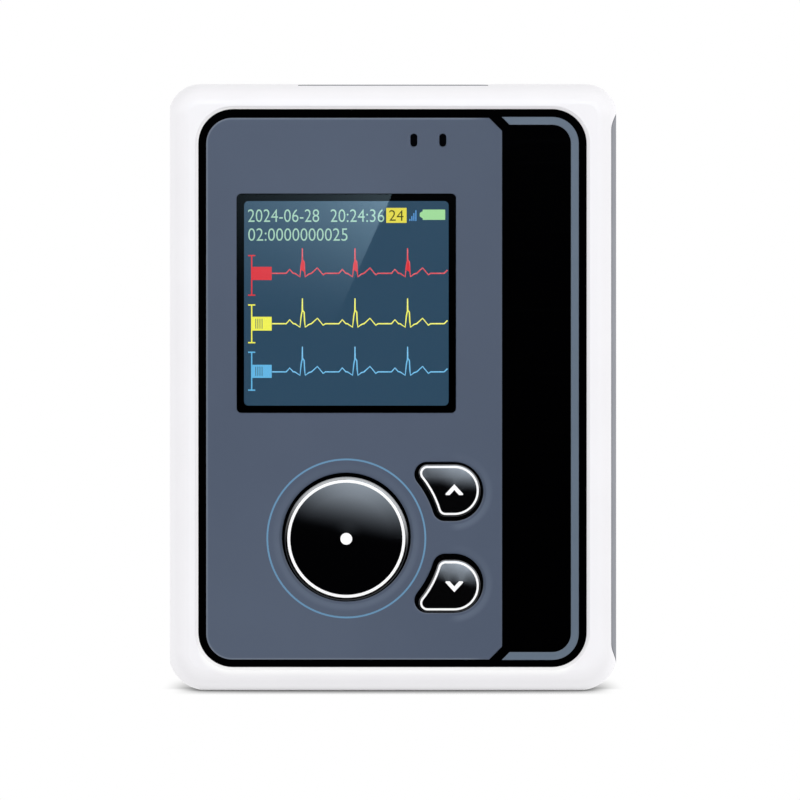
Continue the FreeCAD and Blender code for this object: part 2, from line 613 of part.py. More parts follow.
def centre_cap():
    """The domed cap before its ring and dot are let in: a cup with a flange and a plunger."""
    edge_y = Y_TIP + DOME_DROP
    sphere = (DOME_EDGE ** 2 + DOME_DROP ** 2) / (2 * DOME_DROP)
    half = DOME_EDGE / 2
    half_y = Y_TIP + sphere - math.sqrt(sphere ** 2 - half ** 2)
    shoulder = CAP_RADIUS - DOME_EDGE
    bend = shoulder * math.sqrt(0.5)
    flange_y = Y_FLOOR + FIT
    under = flange_y - CAP_HOLLOW
    inside = CAP_RADIUS - CAP_WALL

    def places(profile):
        return [V(DISPLAY_X + r, y, BUTTON_Z) for r, y in profile]

    dome = places([(0, Y_TIP), (half, half_y), (DOME_EDGE, edge_y)])
    edge = places([(DOME_EDGE, edge_y), (DOME_EDGE + bend, edge_y + shoulder - bend),
                   (CAP_RADIUS, edge_y + shoulder)])
    rest = places([(CAP_RADIUS, edge_y + shoulder), (CAP_RADIUS, flange_y),
                   (CAP_RADIUS + FLANGE, flange_y), (CAP_RADIUS + FLANGE, flange_y + FLANGE_HIGH),
                   (inside, flange_y + FLANGE_HIGH), (inside, under), (PLUNGER_RADIUS, under),
                   (PLUNGER_RADIUS, Y_PLUNGER), (0, Y_PLUNGER), (0, Y_TIP)])
    arcs = [Part.Arc(*dome).toShape(), Part.Arc(*edge).toShape()]
    outline = Part.Wire(arcs + Part.makePolygon(rest).Edges)
    return Part.Face(outline).revolve(V(DISPLAY_X, 0, BUTTON_Z), V(0, 1, 0), 360)


def ring_bed():
    y0, y1 = Y_TIP - PAST, Y_TIP + DOME_DROP + RING_DEPTH
    outer = rod(DISPLAY_X, BUTTON_Z, RING_OUTER, y0, y1)
    return outer.cut(rod(DISPLAY_X, BUTTON_Z, RING_INNER, y0, y1))


def dot_bed():
    return rod(DISPLAY_X, BUTTON_Z, DOT_RADIUS, Y_TIP - PAST, Y_TIP + DOT_DEPTH)


def key_cap():
    """The up key before its rim and mark are let in: crowned, with a flange and a plunger."""
    flange_y = Y_FLOOR + FIT
    crown = Part.makeSphere(KEY_CROWN, V(KEY_CROWN_X, Y_PANEL - KEY_PROUD + KEY_CROWN, KEY_CROWN_Z))
    top = key_prism(KEY_CAP_GROW, Y_TIP - PAST, flange_y).common(crown)
    top = top.makeFillet(KEY_EDGE, [e for e in top.Edges if e.BoundBox.YMax < Y_PANEL + PAST])
    flange = key_prism(KEY_FLANGE_GROW, flange_y, flange_y + FLANGE_HIGH)
    plunger = rod(KEY_STEM_X, KEY_Z, KEY_PLUNGER_RADIUS, flange_y, Y_PLUNGER)
    return all_fused(top, [flange, plunger])


def key_rim_bed():
    y0, y1 = Y_TIP - PAST, Y_PANEL - KEY_PROUD + 2 * KEY_RIM_DEPTH
    return key_prism(KEY_RIM_HALF, y0, y1).cut(key_prism(-KEY_RIM_HALF, y0, y1))


def key_mark_bed():
    points = [(KEY_X + x, CHEVRON_Z + z) for x, z in CHEVRON]
    return polygon_slab(points, Y_TIP - PAST, Y_PANEL - KEY_PROUD + KEY_MARK_DEPTH)


def switch_places():
    return [(DISPLAY_X, BUTTON_Z), (KEY_STEM_X, KEY_Z), (KEY_STEM_X, 2 * KEYS_Z - KEY_Z)]


def switch_stem(x, z):
    return rod(x, z, STEM_RADIUS, Y_PLUNGER, Y_PLUNGER + STEM_LENGTH)


def key_switches():
    bodies = []
    bore_end = Y_PLUNGER + STEM_LENGTH + BUTTON_TRAVEL + FIT
    for x, z in switch_places():
        half = SWITCH_SIZE / 2
        y0 = Y_BOARD - SWITCH_HIGH
        body = rounded_slab(x - half, x + half, z - half, z + half, SWITCH_RADIUS, y0, Y_BOARD)
        bodies.append(body.cut(rod(x, z, STEM_RADIUS + FIT, y0, bore_end)))
    return Part.makeCompound(bodies)


# ---- boards ----

def main_board():
    y0, y1 = Y_BOARD, Y_BOARD + BOARD_THICK
    board = rounded_slab(BOARD_LEFT, BOARD_RIGHT, BOARD_BOTTOM, BOARD_TOP, BOARD_RADIUS, y0, y1)
    return board.cut([rod(x, z, BOSS_RADIUS + BOARD_PLAY, y0 - PAST, y1 + PAST) for x, z in SCREWS])


def lead_board():
    """The board of the electrode amplifiers, which carries the cable socket."""
    y1 = Y_LEAD_BOARD + BOARD_THICK
    return rounded_slab(LEAD_LEFT, LEAD_RIGHT, LEAD_BOTTOM, LEAD_TOP, BOARD_RADIUS, Y_LEAD_BOARD, y1)


def chip(place, board_y):
    """A component on the back of the board whose front is at board_y."""
    x, z, wide, high, thick = place
    y0 = board_y + BOARD_THICK
    return block(x - wide / 2, x + wide / 2, y0, y0 + thick, z - high / 2, z + high / 2)


def board_passives():
    parts = []
    for count, (x, z), (step_x, step_z), (wide, high) in PASSIVE_ROWS:
        for i in range(count):
            parts.append(chip((x + step_x * i, z + step_z * i, wide, high, PASSIVE_HIGH), Y_BOARD))
    return Part.makeCompound(parts)


def indicator_leds():
    wide, long = LED_WIDE / 2, LED_LONG / 2
    y0 = Y_BOARD - LED_HIGH
    leds = [block(x - wide, x + wide, y0, Y_BOARD, LIGHT_Z - long, LIGHT_Z + long) for x in LIGHT_X]
    return Part.makeCompound(leds)


def board_link():
    """The plug and socket that stand between the two boards."""
    y0 = Y_BOARD + BOARD_THICK
    wide, long = LINK_WIDE / 2, LINK_LONG / 2
    base = block(LINK_X - wide, LINK_X + wide, y0, y0 + LINK_BASE, LINK_Z - long, LINK_Z + long)
    wide, long = wide - LINK_STEP, long - LINK_STEP
    plug = block(LINK_X - wide, LINK_X + wide, y0 + LINK_BASE, Y_LEAD_BOARD, LINK_Z - long, LINK_Z + long)
    return all_fused(base, [plug])


# ---- cable socket ----

def socket_profile(inset, z0, z1):
    """The mouth of the metal shell: one long side wider than the other."""
    wide, high = SOCKET_WIDTH / 2 - inset, SOCKET_THICK / 2 - inset
    narrow, bend = wide - SOCKET_TAPER, WELL_Y + high / 5
    points = [V(-wide, WELL_Y - high, z0), V(wide, WELL_Y - high, z0), V(wide, bend, z0),
              V(narrow, WELL_Y + high, z0), V(-narrow, WELL_Y + high, z0), V(-wide, bend, z0)]
    return Part.Face(Part.makePolygon(points + points[:1])).extrude(V(0, 0, z1 - z0))


def socket_well():
    top, floor = CASE_HEIGHT, CASE_HEIGHT - WELL_DROP
    outer = well_block(0, floor - WELL_WALL, top)
    inner = well_block(-WELL_WALL, floor, top)
    return outer.cut([inner, socket_profile(0, floor - PAST, floor + PAST)])


def socket_shell():
    top = CASE_HEIGHT - WELL_DROP + SOCKET_RISE
    return socket_profile(0, SOCKET_BOTTOM, top).cut(socket_profile(SOCKET_WALL, SOCKET_BOTTOM, top))


def socket_tongue():
    base_top = SOCKET_BOTTOM + SOCKET_BASE
    base = socket_profile(SOCKET_WALL, SOCKET_BOTTOM, base_top)
    half = CONTACTS_A_ROW * CONTACT_PITCH / 2 + TONGUE_EDGE
    tongue = block(-half, half, WELL_Y - TONGUE_HALF, WELL_Y + TONGUE_HALF,
                   base_top, CASE_HEIGHT - WELL_DROP)
    return all_fused(base, [tongue])


def socket_contacts():
    strips = []
    z0, z1 = SOCKET_BOTTOM + SOCKET_BASE, CASE_HEIGHT - WELL_DROP - CONTACT_SHORT
    half = CONTACT_WIDE / 2
    for y0 in (WELL_Y + TONGUE_HALF, WELL_Y - TONGUE_HALF - CONTACT_THICK):
        for i in range(CONTACTS_A_ROW):
            x = (i - (CONTACTS_A_ROW - 1) / 2) * CONTACT_PITCH
            strips.append(block(x - half, x + half, y0, y0 + CONTACT_THICK, z0, z1))
    return Part.makeCompound(strips)


# ---- battery ----

def battery_tray():
    body = block(TRAY_LEFT, TRAY_RIGHT, Y_INNER, TRAY_BACK, BAY_BOTTOM - TRAY_END, BAY_TOP + TRAY_END)
    bay = post(CELL_X, 0, BAY_RADIUS, BAY_BOTTOM, BAY_TOP)
    mouth = block(CELL_X, TRAY_RIGHT + PAST, -BAY_RADIUS, BAY_RADIUS, BAY_BOTTOM, BAY_TOP)
    return body.cut([bay, mouth])


def battery_cell():
    top = CELL_BOTTOM + CELL_LENGTH - NUB_HIGH
    can = post(CELL_X, 0, CELL_RADIUS, CELL_BOTTOM, top)
    rims = [e for e in can.Edges if e.BoundBox.ZLength < CELL_EDGE]
    return all_fused(can.makeChamfer(CELL_EDGE, rims), [post(CELL_X, 0, NUB_RADIUS, top, top + NUB_HIGH)])


def battery_spring():
    """A conical coil that pushes the cell up against the positive leaf."""
    low, high = BAY_BOTTOM + LEAF + SPRING_WIRE, CELL_BOTTOM - SPRING_WIRE
    rise = high - low
    slant = math.hypot(rise, SPRING_TAPER)
    cone = math.degrees(math.atan(SPRING_TAPER / rise))
    helix = Part.makeHelix(slant / SPRING_TURNS, slant, SPRING_RADIUS - SPRING_TAPER, cone)
    helix.translate(V(CELL_X, 0, low))
    start = helix.Edges[0]
    middle, along = start.valueAt(start.FirstParameter), start.tangentAt(start.FirstParameter)
    out = along.cross(V(0, 0, 1)).normalize()
    up = out.cross(along)
    corners = []
    for i in range(WIRE_FLATS):
        angle = 2 * math.pi * (i + 0.5) / WIRE_FLATS
        corners.append(middle + out * SPRING_WIRE * math.cos(angle) + up * SPRING_WIRE * math.sin(angle))
    coil = Part.Wire(helix.Edges).makePipeShell([Part.makePolygon(corners + corners[:1])], True, True)
    return coil.mirror(V(0, 0, (low + high) / 2), V(0, 0, 1))


def leaf_contact(z0, z1):
    half = LEAF_SIZE / 2
    return block(CELL_X - half, CELL_X + half, -half, half, z0, z1)


# ---- battery door ----

def hinge_pin():
    return post(PIN_X, PIN_Y, PIN_RADIUS, DOOR_BOTTOM - PIN_SEAT, DOOR_TOP + PIN_SEAT)


def door_tongues():
    """Two tongues behind the front edge, and two ribs that keep the cell in its tray."""
    x1 = DOOR_INNER + DOOR_RIB_HIGH
    tongues = [block(DOOR_INNER - TONGUE_REACH, x1, TONGUE_FRONT, TONGUE_BACK, z0, z1)
               for z0, z1 in TONGUES_Z]
    y0, y1 = DOOR_RIB_SPAN
    ribs = [block(DOOR_INNER - DOOR_RIB_HIGH, x1, y0, y1, z - DOOR_RIB_HALF, z + DOOR_RIB_HALF)
            for z in DOOR_RIBS_Z]
    return tongues + ribs


def battery_door(case):
    """A side door that follows the case's outside and turns on a barrel along its rear edge."""
    leaf = case.common(door_outline(-FIT, DOOR_INNER))
    leaf = leaf.common(block(DOOR_INNER, CASE_WIDTH, Y_RIM, PIN_Y, 0, CASE_HEIGHT))
    barrel = post(PIN_X, PIN_Y, BARREL_RADIUS, DOOR_BOTTOM + FIT, DOOR_TOP - FIT).common(case)
    door = leaf.fuse([barrel] + door_tongues())
    inner_x, hinge_y = PIN_X - BARREL_RADIUS - FIT, PIN_Y - BARREL_RADIUS - BARREL_GAP
    half = LUG_LENGTH / 2 + FIT
    gaps = [block(inner_x, CASE_WIDTH, hinge_y, Y_BACK, z - half, z + half) for z in LUGS_Z]
    middle_z = (DOOR_BOTTOM + DOOR_TOP) / 2
    scoop = Part.makeSphere(SCOOP_RADIUS, V(CASE_WIDTH / 2 + SCOOP_RADIUS - SCOOP_DEPTH, SCOOP_Y, middle_z))
    bore = post(PIN_X, PIN_Y, PIN_RADIUS + PIN_PLAY, DOOR_BOTTOM, DOOR_TOP)
    return door.cut(gaps + [scoop, bore]).removeSplitter()


# ---- fasteners ----

def case_screws():
    screws = []
    slot_y = Y_HEAD + SLOT_DEPTH
    for x, z in SCREWS:
        shank = rod(x, z, SCREW_RADIUS, Y_PART - INSERT_LENGTH + TIP_SHORT, Y_HEAD)
        head = rod(x, z, HEAD_RADIUS, Y_HEAD, Y_HEAD + HEAD_HIGH)
        head = head.makeChamfer(HEAD_EDGE, edges_at(head, Y_HEAD + HEAD_HIGH))
        slots = [block(x - SLOT_LONG, x + SLOT_LONG, slot_y, Y_BACK, z - SLOT_HALF, z + SLOT_HALF),
                 block(x - SLOT_HALF, x + SLOT_HALF, slot_y, Y_BACK, z - SLOT_LONG, z + SLOT_LONG)]
        screws.append(all_fused(shank, [head.cut(slots)]))
    return Part.makeCompound(screws)


def screw_inserts():
    sleeves = []
    for x, z in SCREWS:
        sleeve = rod(x, z, INSERT_RADIUS, Y_PART - INSERT_LENGTH, Y_PART)
        sleeves.append(sleeve.cut(rod(x, z, SCREW_RADIUS, Y_PART - INSERT_LENGTH, Y_PART)))
    return Part.makeCompound(sleeves)


# ---- assembly ----

def build():
    case = case_block()
    cap, ring, dot = centre_cap(), ring_bed(), dot_bed()
    key, rim, mark = key_cap(), key_rim_bed(), key_mark_bed()
    up_button, up_rim, up_mark = key.cut([rim, mark]), key.common(rim), key.common(mark)
    stems = [switch_stem(x, z) for x, z in switch_places()]
    return {
        "front_shell": front_shell(case),
        "rear_shell": rear_shell(case),
        "face_plate": face_plate(),
        "slate_panel": slate_panel(),
        "slate_stripe": slate_stripe(),
        "accent_ring": accent_ring(),
        "light_pipes": light_pipes(),
        "display_lens": display_lens(),
        "display_mask": display_mask(),
        "display_gasket": display_gasket(),
        "display_glass": module_slab(FLEX_THICK, Y_GLASS, Y_BACKLIGHT),
        "display_backlight": display_backlight(),
        "display_flex": display_flex(),
        "display_pads": display_pads(),
        "flex_socket": flex_socket(),
        "centre_button": cap.cut([ring, dot]),
        "centre_button_ring": cap.common(ring),
        "centre_button_dot": cap.common(dot),
        "up_button": up_button,
        "up_button_rim": up_rim,
        "up_button_mark": up_mark,
        "down_button": mirrored(up_button),
        "down_button_rim": mirrored(up_rim),
        "down_button_mark": mirrored(up_mark),
        "centre_switch_stem": stems[0],
        "up_switch_stem": stems[1],
        "down_switch_stem": stems[2],
        "key_switches": key_switches(),
        "main_board": main_board(),
        "processor": chip(PROCESSOR, Y_BOARD),
        "memory_chip": chip(MEMORY, Y_BOARD),
        "radio_shield": chip(RADIO, Y_BOARD),
        "board_passives": board_passives(),
        "indicator_leds": indicator_leds(),
        "lead_board": lead_board(),
        "amplifier_chips": Part.makeCompound([chip(place, Y_LEAD_BOARD) for place in AMPLIFIERS]),
        "board_link": board_link(),
        "socket_well": socket_well(),
        "socket_shell": socket_shell(),
        "socket_tongue": socket_tongue(),
        "socket_contacts": socket_contacts(),
        "battery_tray": battery_tray(),
        "battery_cell": battery_cell(),
        "battery_spring": battery_spring(),
        "battery_minus_leaf": leaf_contact(BAY_BOTTOM, BAY_BOTTOM + LEAF),
        "battery_plus_leaf": leaf_contact(BAY_TOP - LEAF, BAY_TOP),
        "battery_door": battery_door(case),
        "door_hinge_pin": hinge_pin(),
        "case_screws": case_screws(),
        "screw_inserts": screw_inserts(),
    }


os.makedirs("parts", exist_ok=True)
for name, shape in build().items():
    shape.exportStep(f"parts/{name}.step")
    print(f"{name:22s} solids {len(shape.Solids):3d}  volume {shape.Volume:10.3f}  valid {shape.isValid()}")
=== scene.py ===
"""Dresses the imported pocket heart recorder: finishes, lit display, boards, cell and studio."""

import json
import logging
import math
from collections.abc import Sequence
from dataclasses import dataclass
from enum import Enum
from typing import Any

import bmesh
import bpy
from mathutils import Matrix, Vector


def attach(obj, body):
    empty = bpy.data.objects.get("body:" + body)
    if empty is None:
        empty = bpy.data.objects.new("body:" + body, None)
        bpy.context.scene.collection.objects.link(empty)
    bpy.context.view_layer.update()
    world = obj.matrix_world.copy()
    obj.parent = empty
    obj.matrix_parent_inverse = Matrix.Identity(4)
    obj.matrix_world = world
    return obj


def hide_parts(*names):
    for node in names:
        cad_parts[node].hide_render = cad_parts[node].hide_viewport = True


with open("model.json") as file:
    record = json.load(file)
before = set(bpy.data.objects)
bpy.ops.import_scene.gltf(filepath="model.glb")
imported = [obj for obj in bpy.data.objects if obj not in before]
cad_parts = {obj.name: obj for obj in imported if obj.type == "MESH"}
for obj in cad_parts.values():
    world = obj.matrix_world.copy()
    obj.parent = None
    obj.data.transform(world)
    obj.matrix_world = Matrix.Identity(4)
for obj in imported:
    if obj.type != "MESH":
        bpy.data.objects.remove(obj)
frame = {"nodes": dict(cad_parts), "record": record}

LOG = logging.getLogger("recorder")
MM = 0.001

Colour = tuple[float, float, float, float]
Point = tuple[float, float]
Corner = tuple[float, float, float]
Box = tuple[float, float, float, float]


def srgb(red: float, green: float, blue: float) -> Colour:
    """Turns a display colour, 0 to 255, into the linear colour that the shaders use.

    Args:
        red: The red part.
        green: The green part.
        blue: The blue part.

    Returns:
        The linear colour with an alpha of 1.
    """
    linear = []
    for part in (red / 255, green / 255, blue / 255):
        linear.append(part / 12.92 if part <= 0.04045 else ((part + 0.055) / 1.055) ** 2.4)
    return linear[0], linear[1], linear[2], 1.0


class Body(Enum):
    """The bodies that pieces ride on."""

    CASE = "case"
    CENTRE_KEY = "centre_key"
    UP_KEY = "up_key"
    DOWN_KEY = "down_key"
    DOOR = "door"


# ---- node trees ----

class Tree:
    """A node tree under construction, for a material, a world or a geometry rule."""

    def __init__(self, nodes_of: bpy.types.NodeTree) -> None:
        """Starts on an emptied tree.

        Args:
            nodes_of: The tree to fill.
        """
        self.tree = nodes_of
        self.tree.nodes.clear()

    def add(self, kind: str, settings: dict[str, Any] | None = None,
            sockets: dict[str, Any] | None = None) -> bpy.types.Node:
        """Adds one node.

        Args:
            kind: The node's type.
            settings: What is set on the node first.
            sockets: Values or links by the socket's name or identifier.

        Returns:
            The node.
        """
        node = self.tree.nodes.new(kind)
        for name, value in (settings or {}).items():
            setattr(node, name, value)
        for name, value in (sockets or {}).items():
            self._feed(self._input(node, name), value)
        return node

    @staticmethod
    def _input(node: bpy.types.Node, name: str) -> bpy.types.NodeSocket:
        """Finds a node's input by its identifier, or else by its name.

        Args:
            node: The node.
            name: The identifier or name.

        Returns:
            The input.
        """
        for socket in node.inputs:
            if socket.identifier == name:
                return socket
        return node.inputs[name]

    def _feed(self, socket: bpy.types.NodeSocket, value: Any) -> None:
        """Links or sets one input.

        Args:
            socket: The input.
            value: A number or colour, or a socket or signal to link.
        """
        if isinstance(value, Signal):
            self.tree.links.new(value.socket, socket)
        elif isinstance(value, bpy.types.NodeSocket):
            self.tree.links.new(value, socket)
        else:
            socket.default_value = value


class Signal:
    """A number's socket, written with Python's operators."""

    def __init__(self, tree: Tree, socket: bpy.types.NodeSocket) -> None:
        """Wraps a socket.

        Args:
            tree: The tree that the socket is in.
            socket: The output that carries the number.
        """
        self.tree = tree
        self.socket = socket

    def maths(self, operation: str, *values: Any) -> "Signal":
        """Adds a Math node.

        Args:
            operation: The node's operation.
            values: Its inputs in order.

        Returns:
            The result.
        """
        node = self.tree.add("ShaderNodeMath", {"operation": operation})
        for socket, value in zip(node.inputs, values):
            self.tree._feed(socket, value)
        return Signal(self.tree, node.outputs[0])

    def __add__(self, other: Any) -> "Signal":
        """The sum."""
        return self.maths("ADD", self, other)

    def __sub__(self, other: Any) -> "Signal":
        """The difference."""
        return self.maths("SUBTRACT", self, other)

    def __rsub__(self, other: Any) -> "Signal":
        """The difference, from a plain number."""
        return self.maths("SUBTRACT", other, self)

    def __mul__(self, other: Any) -> "Signal":
        """The product."""
        return self.maths("MULTIPLY", self, other)

    def __truediv__(self, other: Any) -> "Signal":
        """The quotient."""
        return self.maths("DIVIDE", self, other)

    def __pow__(self, other: Any) -> "Signal":
        """The power."""
        return self.maths("POWER", self, other)

    def __gt__(self, other: Any) -> "Signal":
        """1 where it is greater, else 0."""
        return self.maths("GREATER_THAN", self, other)

    def __lt__(self, other: Any) -> "Signal":
        """1 where it is less, else 0."""
        return self.maths("LESS_THAN", self, other)

    __radd__ = __add__
    __rmul__ = __mul__

    def fraction(self) -> "Signal":
        """What is left over a whole number."""
        return self.maths("FRACT", self)

    def span(self, other: "Signal") -> "Signal":
        """The long side of the right-angled triangle that the two make."""
        return (self * self + other * other) ** 0.5

    def whole(self) -> "Signal":
        """The whole number below."""
        return self.maths("FLOOR", self)

    def size(self) -> "Signal":
        """The number without its sign."""
        return self.maths("ABSOLUTE", self)

    def sine(self) -> "Signal":
        """The sine."""
        return self.maths("SINE", self)

    def exponential(self) -> "Signal":
        """The natural exponential."""
        return self.maths("EXPONENT", self)

    def most(self, other: Any) -> "Signal":
        """The larger of the two."""
        return self.maths("MAXIMUM", self, other)

    def least(self, other: Any) -> "Signal":
        """The smaller of the two."""
        return self.maths("MINIMUM", self, other)

    def smooth(self, low: float, high: float) -> "Signal":
        """Runs smoothly from 0 to 1.

        Args:
            low: Where it is 0.
            high: Where it is 1.

        Returns:
            The result.
        """
        node = self.tree.add("ShaderNodeMapRange", {"interpolation_type": "SMOOTHSTEP"},
                             {"Value": self, "From Min": low, "From Max": high})
        return Signal(self.tree, node.outputs["Result"])


class ShaderTree(Tree):
    """A material's or the world's shader tree."""

    def number(self, socket: bpy.types.NodeSocket) -> Signal:
        """Wraps a socket so that it can be calculated with."""
        return Signal(self, socket)

    def place(self) -> bpy.types.NodeSocket:
        """The point on the surface, in metres."""
        return self.add("ShaderNodeTexCoord").outputs["Object"]

    def axes(self) -> tuple[Signal, Signal, Signal]:
        """Splits the point on the surface.

        Returns:
            Its three coordinates in millimetres.
        """
        split = self.add("ShaderNodeSeparateXYZ", sockets={"Vector": self.place()})
        x, y, z = (self.number(split.outputs[i]) * (1 / MM) for i in range(3))
        return x, y, z

    def noise(self, size: float, detail: float = 2.0, stretch: Corner = (1, 1, 1)) -> Signal:
        """Smooth noise.

        Args:
            size: The size of its patches in millimetres.
            detail: How many finer layers it has.
            stretch: How much longer the patches are along each axis.

        Returns:
            A number from 0 to 1.
        """
        scale = [1 / (size * MM * part) for part in stretch]
        mapped = self.add("ShaderNodeMapping", sockets={"Vector": self.place(), "Scale": scale})
        node = self.add("ShaderNodeTexNoise", {"noise_dimensions": "3D"},
                        {"Vector": mapped.outputs[0], "Scale": 1.0, "Detail": detail})
        return self.number(node.outputs["Fac"])

    def blend(self, first: Any, second: Any, share: Any) -> bpy.types.NodeSocket:
        """Mixes two colours.

        Args:
            first: The colour at share 0.
            second: The colour at share 1.
            share: How much of the second.

        Returns:
            The mixed colour.
        """
        node = self.add("ShaderNodeMix", {"data_type": "RGBA"},
                        {"Factor_Float": share, "A_Color": first, "B_Color": second})
        return next(s for s in node.outputs if s.identifier == "Result_Color")

    def bump(self, height: Signal, depth: float) -> bpy.types.NodeSocket:
        """Turns a height into a normal.

        Args:
            height: A number from 0 to 1.
            depth: What 1 stands for, in millimetres.

        Returns:
            The normal.
        """
        sockets = {"Height": height, "Distance": depth * MM, "Strength": 1.0}
        return self.add("ShaderNodeBump", sockets=sockets).outputs[0]

    def join(self, node: bpy.types.Node, shaders: Sequence[bpy.types.Node], first: int) -> None:
        """Links shaders to a node's inputs of one name, from the first input's number on."""
        for number, shader in enumerate(shaders, first):
            self.tree.links.new(shader.outputs[0], node.inputs[number])

    def end(self, shader: bpy.types.NodeSocket, kind: str = "ShaderNodeOutputMaterial") -> None:
        """Feeds the tree's output."""
        self.add(kind, sockets={"Surface": shader})


# ---- finishes ----

def new_material(name: str) -> tuple[bpy.types.Material, ShaderTree]:
    """Starts a material.

    Args:
        name: Its name.

    Returns:
        The material and its emptied tree.
    """
    material = bpy.data.materials.new(name)
    material.use_nodes = True
    return material, ShaderTree(material.node_tree)


def dimmed(colour: Colour, share: float) -> Colour:
    """The colour with its light cut to a share."""
    return colour[0] * share, colour[1] * share, colour[2] * share, 1.0


def outside(wide: Signal, high: Signal, half: Point, corner: float) -> Signal:
    """How far a point lies outside a rectangle with round corners.

    Args:
        wide: The point's distance across from the rectangle's middle.
        high: Its distance up or down from there.
        half: Half the rectangle's width and height.
        corner: The radius of its corners.

    Returns:
        The distance in millimetres, below 0 inside.
    """
    past_side = (wide - (half[0] - corner)).most(0.0)
    past_end = (high - (half[1] - corner)).most(0.0)
    return past_side.span(past_end) - corner


@dataclass(frozen=True)
class Finish:
    """What every finish shares: a name, and one Principled shader that its kind feeds."""

    name: str

    def make(self) -> bpy.types.Material:
        """Builds the material.

        Returns:
            The material.
        """
        material, tree = new_material(self.name)
        shader = tree.add("ShaderNodeBsdfPrincipled", sockets=self.sockets(tree))
        tree.end(shader.outputs[0])
        return material

    def sockets(self, tree: ShaderTree) -> dict[str, Any]:
        """What feeds the shader, which each kind of finish says for itself.

        Args:
            tree: The material's tree.

        Returns:
            Values or links by the socket's name.
        """
        raise NotImplementedError(self.name)

    def tone(self, tree: ShaderTree, plain: bpy.types.NodeSocket) -> bpy.types.NodeSocket:
        """The base colour, which a kind of finish may lay painted light and shade over.

        Args:
            tree: The material's tree.
            plain: The colour without them.

        Returns:
            The colour to use.
        """
        return plain


@dataclass(frozen=True)
class Moulding(Finish):
    """Moulded plastic or rubber: eroded grain, a slow drift of tone, slightly uneven gloss."""

    colour: Colour
    roughness: float = 0.4
    grain: float = 0.22
    depth: float = 0.004
    drift: float = 0.04
    gloss_drift: float = 0.06
    specular: float = 0.5
    coat: float = 0.0
    coat_roughness: float = 0.05
    cloud: float = 9.0
    fine_gloss: float = 0.05

    def sockets(self, tree: ShaderTree) -> dict[str, Any]:
        """What feeds the shader.

        Args:
            tree: The material's tree.

        Returns:
            Values or links by the socket's name.
        """
        slow, fine = tree.noise(self.cloud, 3.0), tree.noise(self.grain, 2.0)
        dark = dimmed(self.colour, 1 - self.drift)
        gloss = (slow - 0.5) * self.gloss_drift
        return {
            "Base Color": self.tone(tree, tree.blend(dark, self.colour, slow.smooth(0.3, 0.7))),
            "Roughness": self.roughness + gloss + (fine - 0.5) * self.fine_gloss,
            "Normal": tree.bump(fine, self.depth),
            "Specular IOR Level": self.specular,
            "Coat Weight": self.coat,
            "Coat Roughness": self.coat_roughness,
        }


@dataclass(frozen=True)
class ShellWhite(Moulding):
    """White moulded plastic, with a painted highlight along the left and lower lip round the face
    plate.
    """

    middle: Point = (-0.075, 40.99)
    half: Point = (26.28, 37.77)
    corner: float = 4.65
    # The colour of the painted highlight on the lip.
    pale: Colour = (0.985, 0.985, 0.985, 1.0)
    fade: Point = (0.45, 1.35)
    side_share: float = 0.25
    low_reach: float = 4.0
    # Where the painted highlight stops: at the right side and at the top right.
    no_highlight_edge: Point = (3.0, 1.0)
    no_highlight_top: Point = (0.0, 15.0)
    front: Point = (6.5, 7.0)

    def tone(self, tree: ShaderTree, plain: bpy.types.NodeSocket) -> bpy.types.NodeSocket:
        """Lays the painted highlight on the lip over the plain colour, wider below than at the
        side.

        Args:
            tree: The material's tree.
            plain: The colour without it.

        Returns:
            The colour to use.
        """
        x, y, z = tree.axes()
        across, up = x - self.middle[0], z - self.middle[1]
        side, end = self.half
        away = outside(across.size(), up.size(), self.half, self.corner)
        low = (0 - up).smooth(end - self.low_reach, end)
        band = 1 - (away / (low * (1 - self.side_share) + self.side_share)).smooth(*self.fade)
        start, stop = self.no_highlight_edge
        right = across.smooth(side - start, side - stop)
        top = up.smooth(end - start, end - stop) * across.smooth(*self.no_highlight_top)
        # The painted highlight's share: the lip's band, but not at the right side or the top right,
        # and on the front only.
        share = band * (1 - right.most(top)) * (0 - y).smooth(*self.front)
        return tree.blend(plain, self.pale, share)


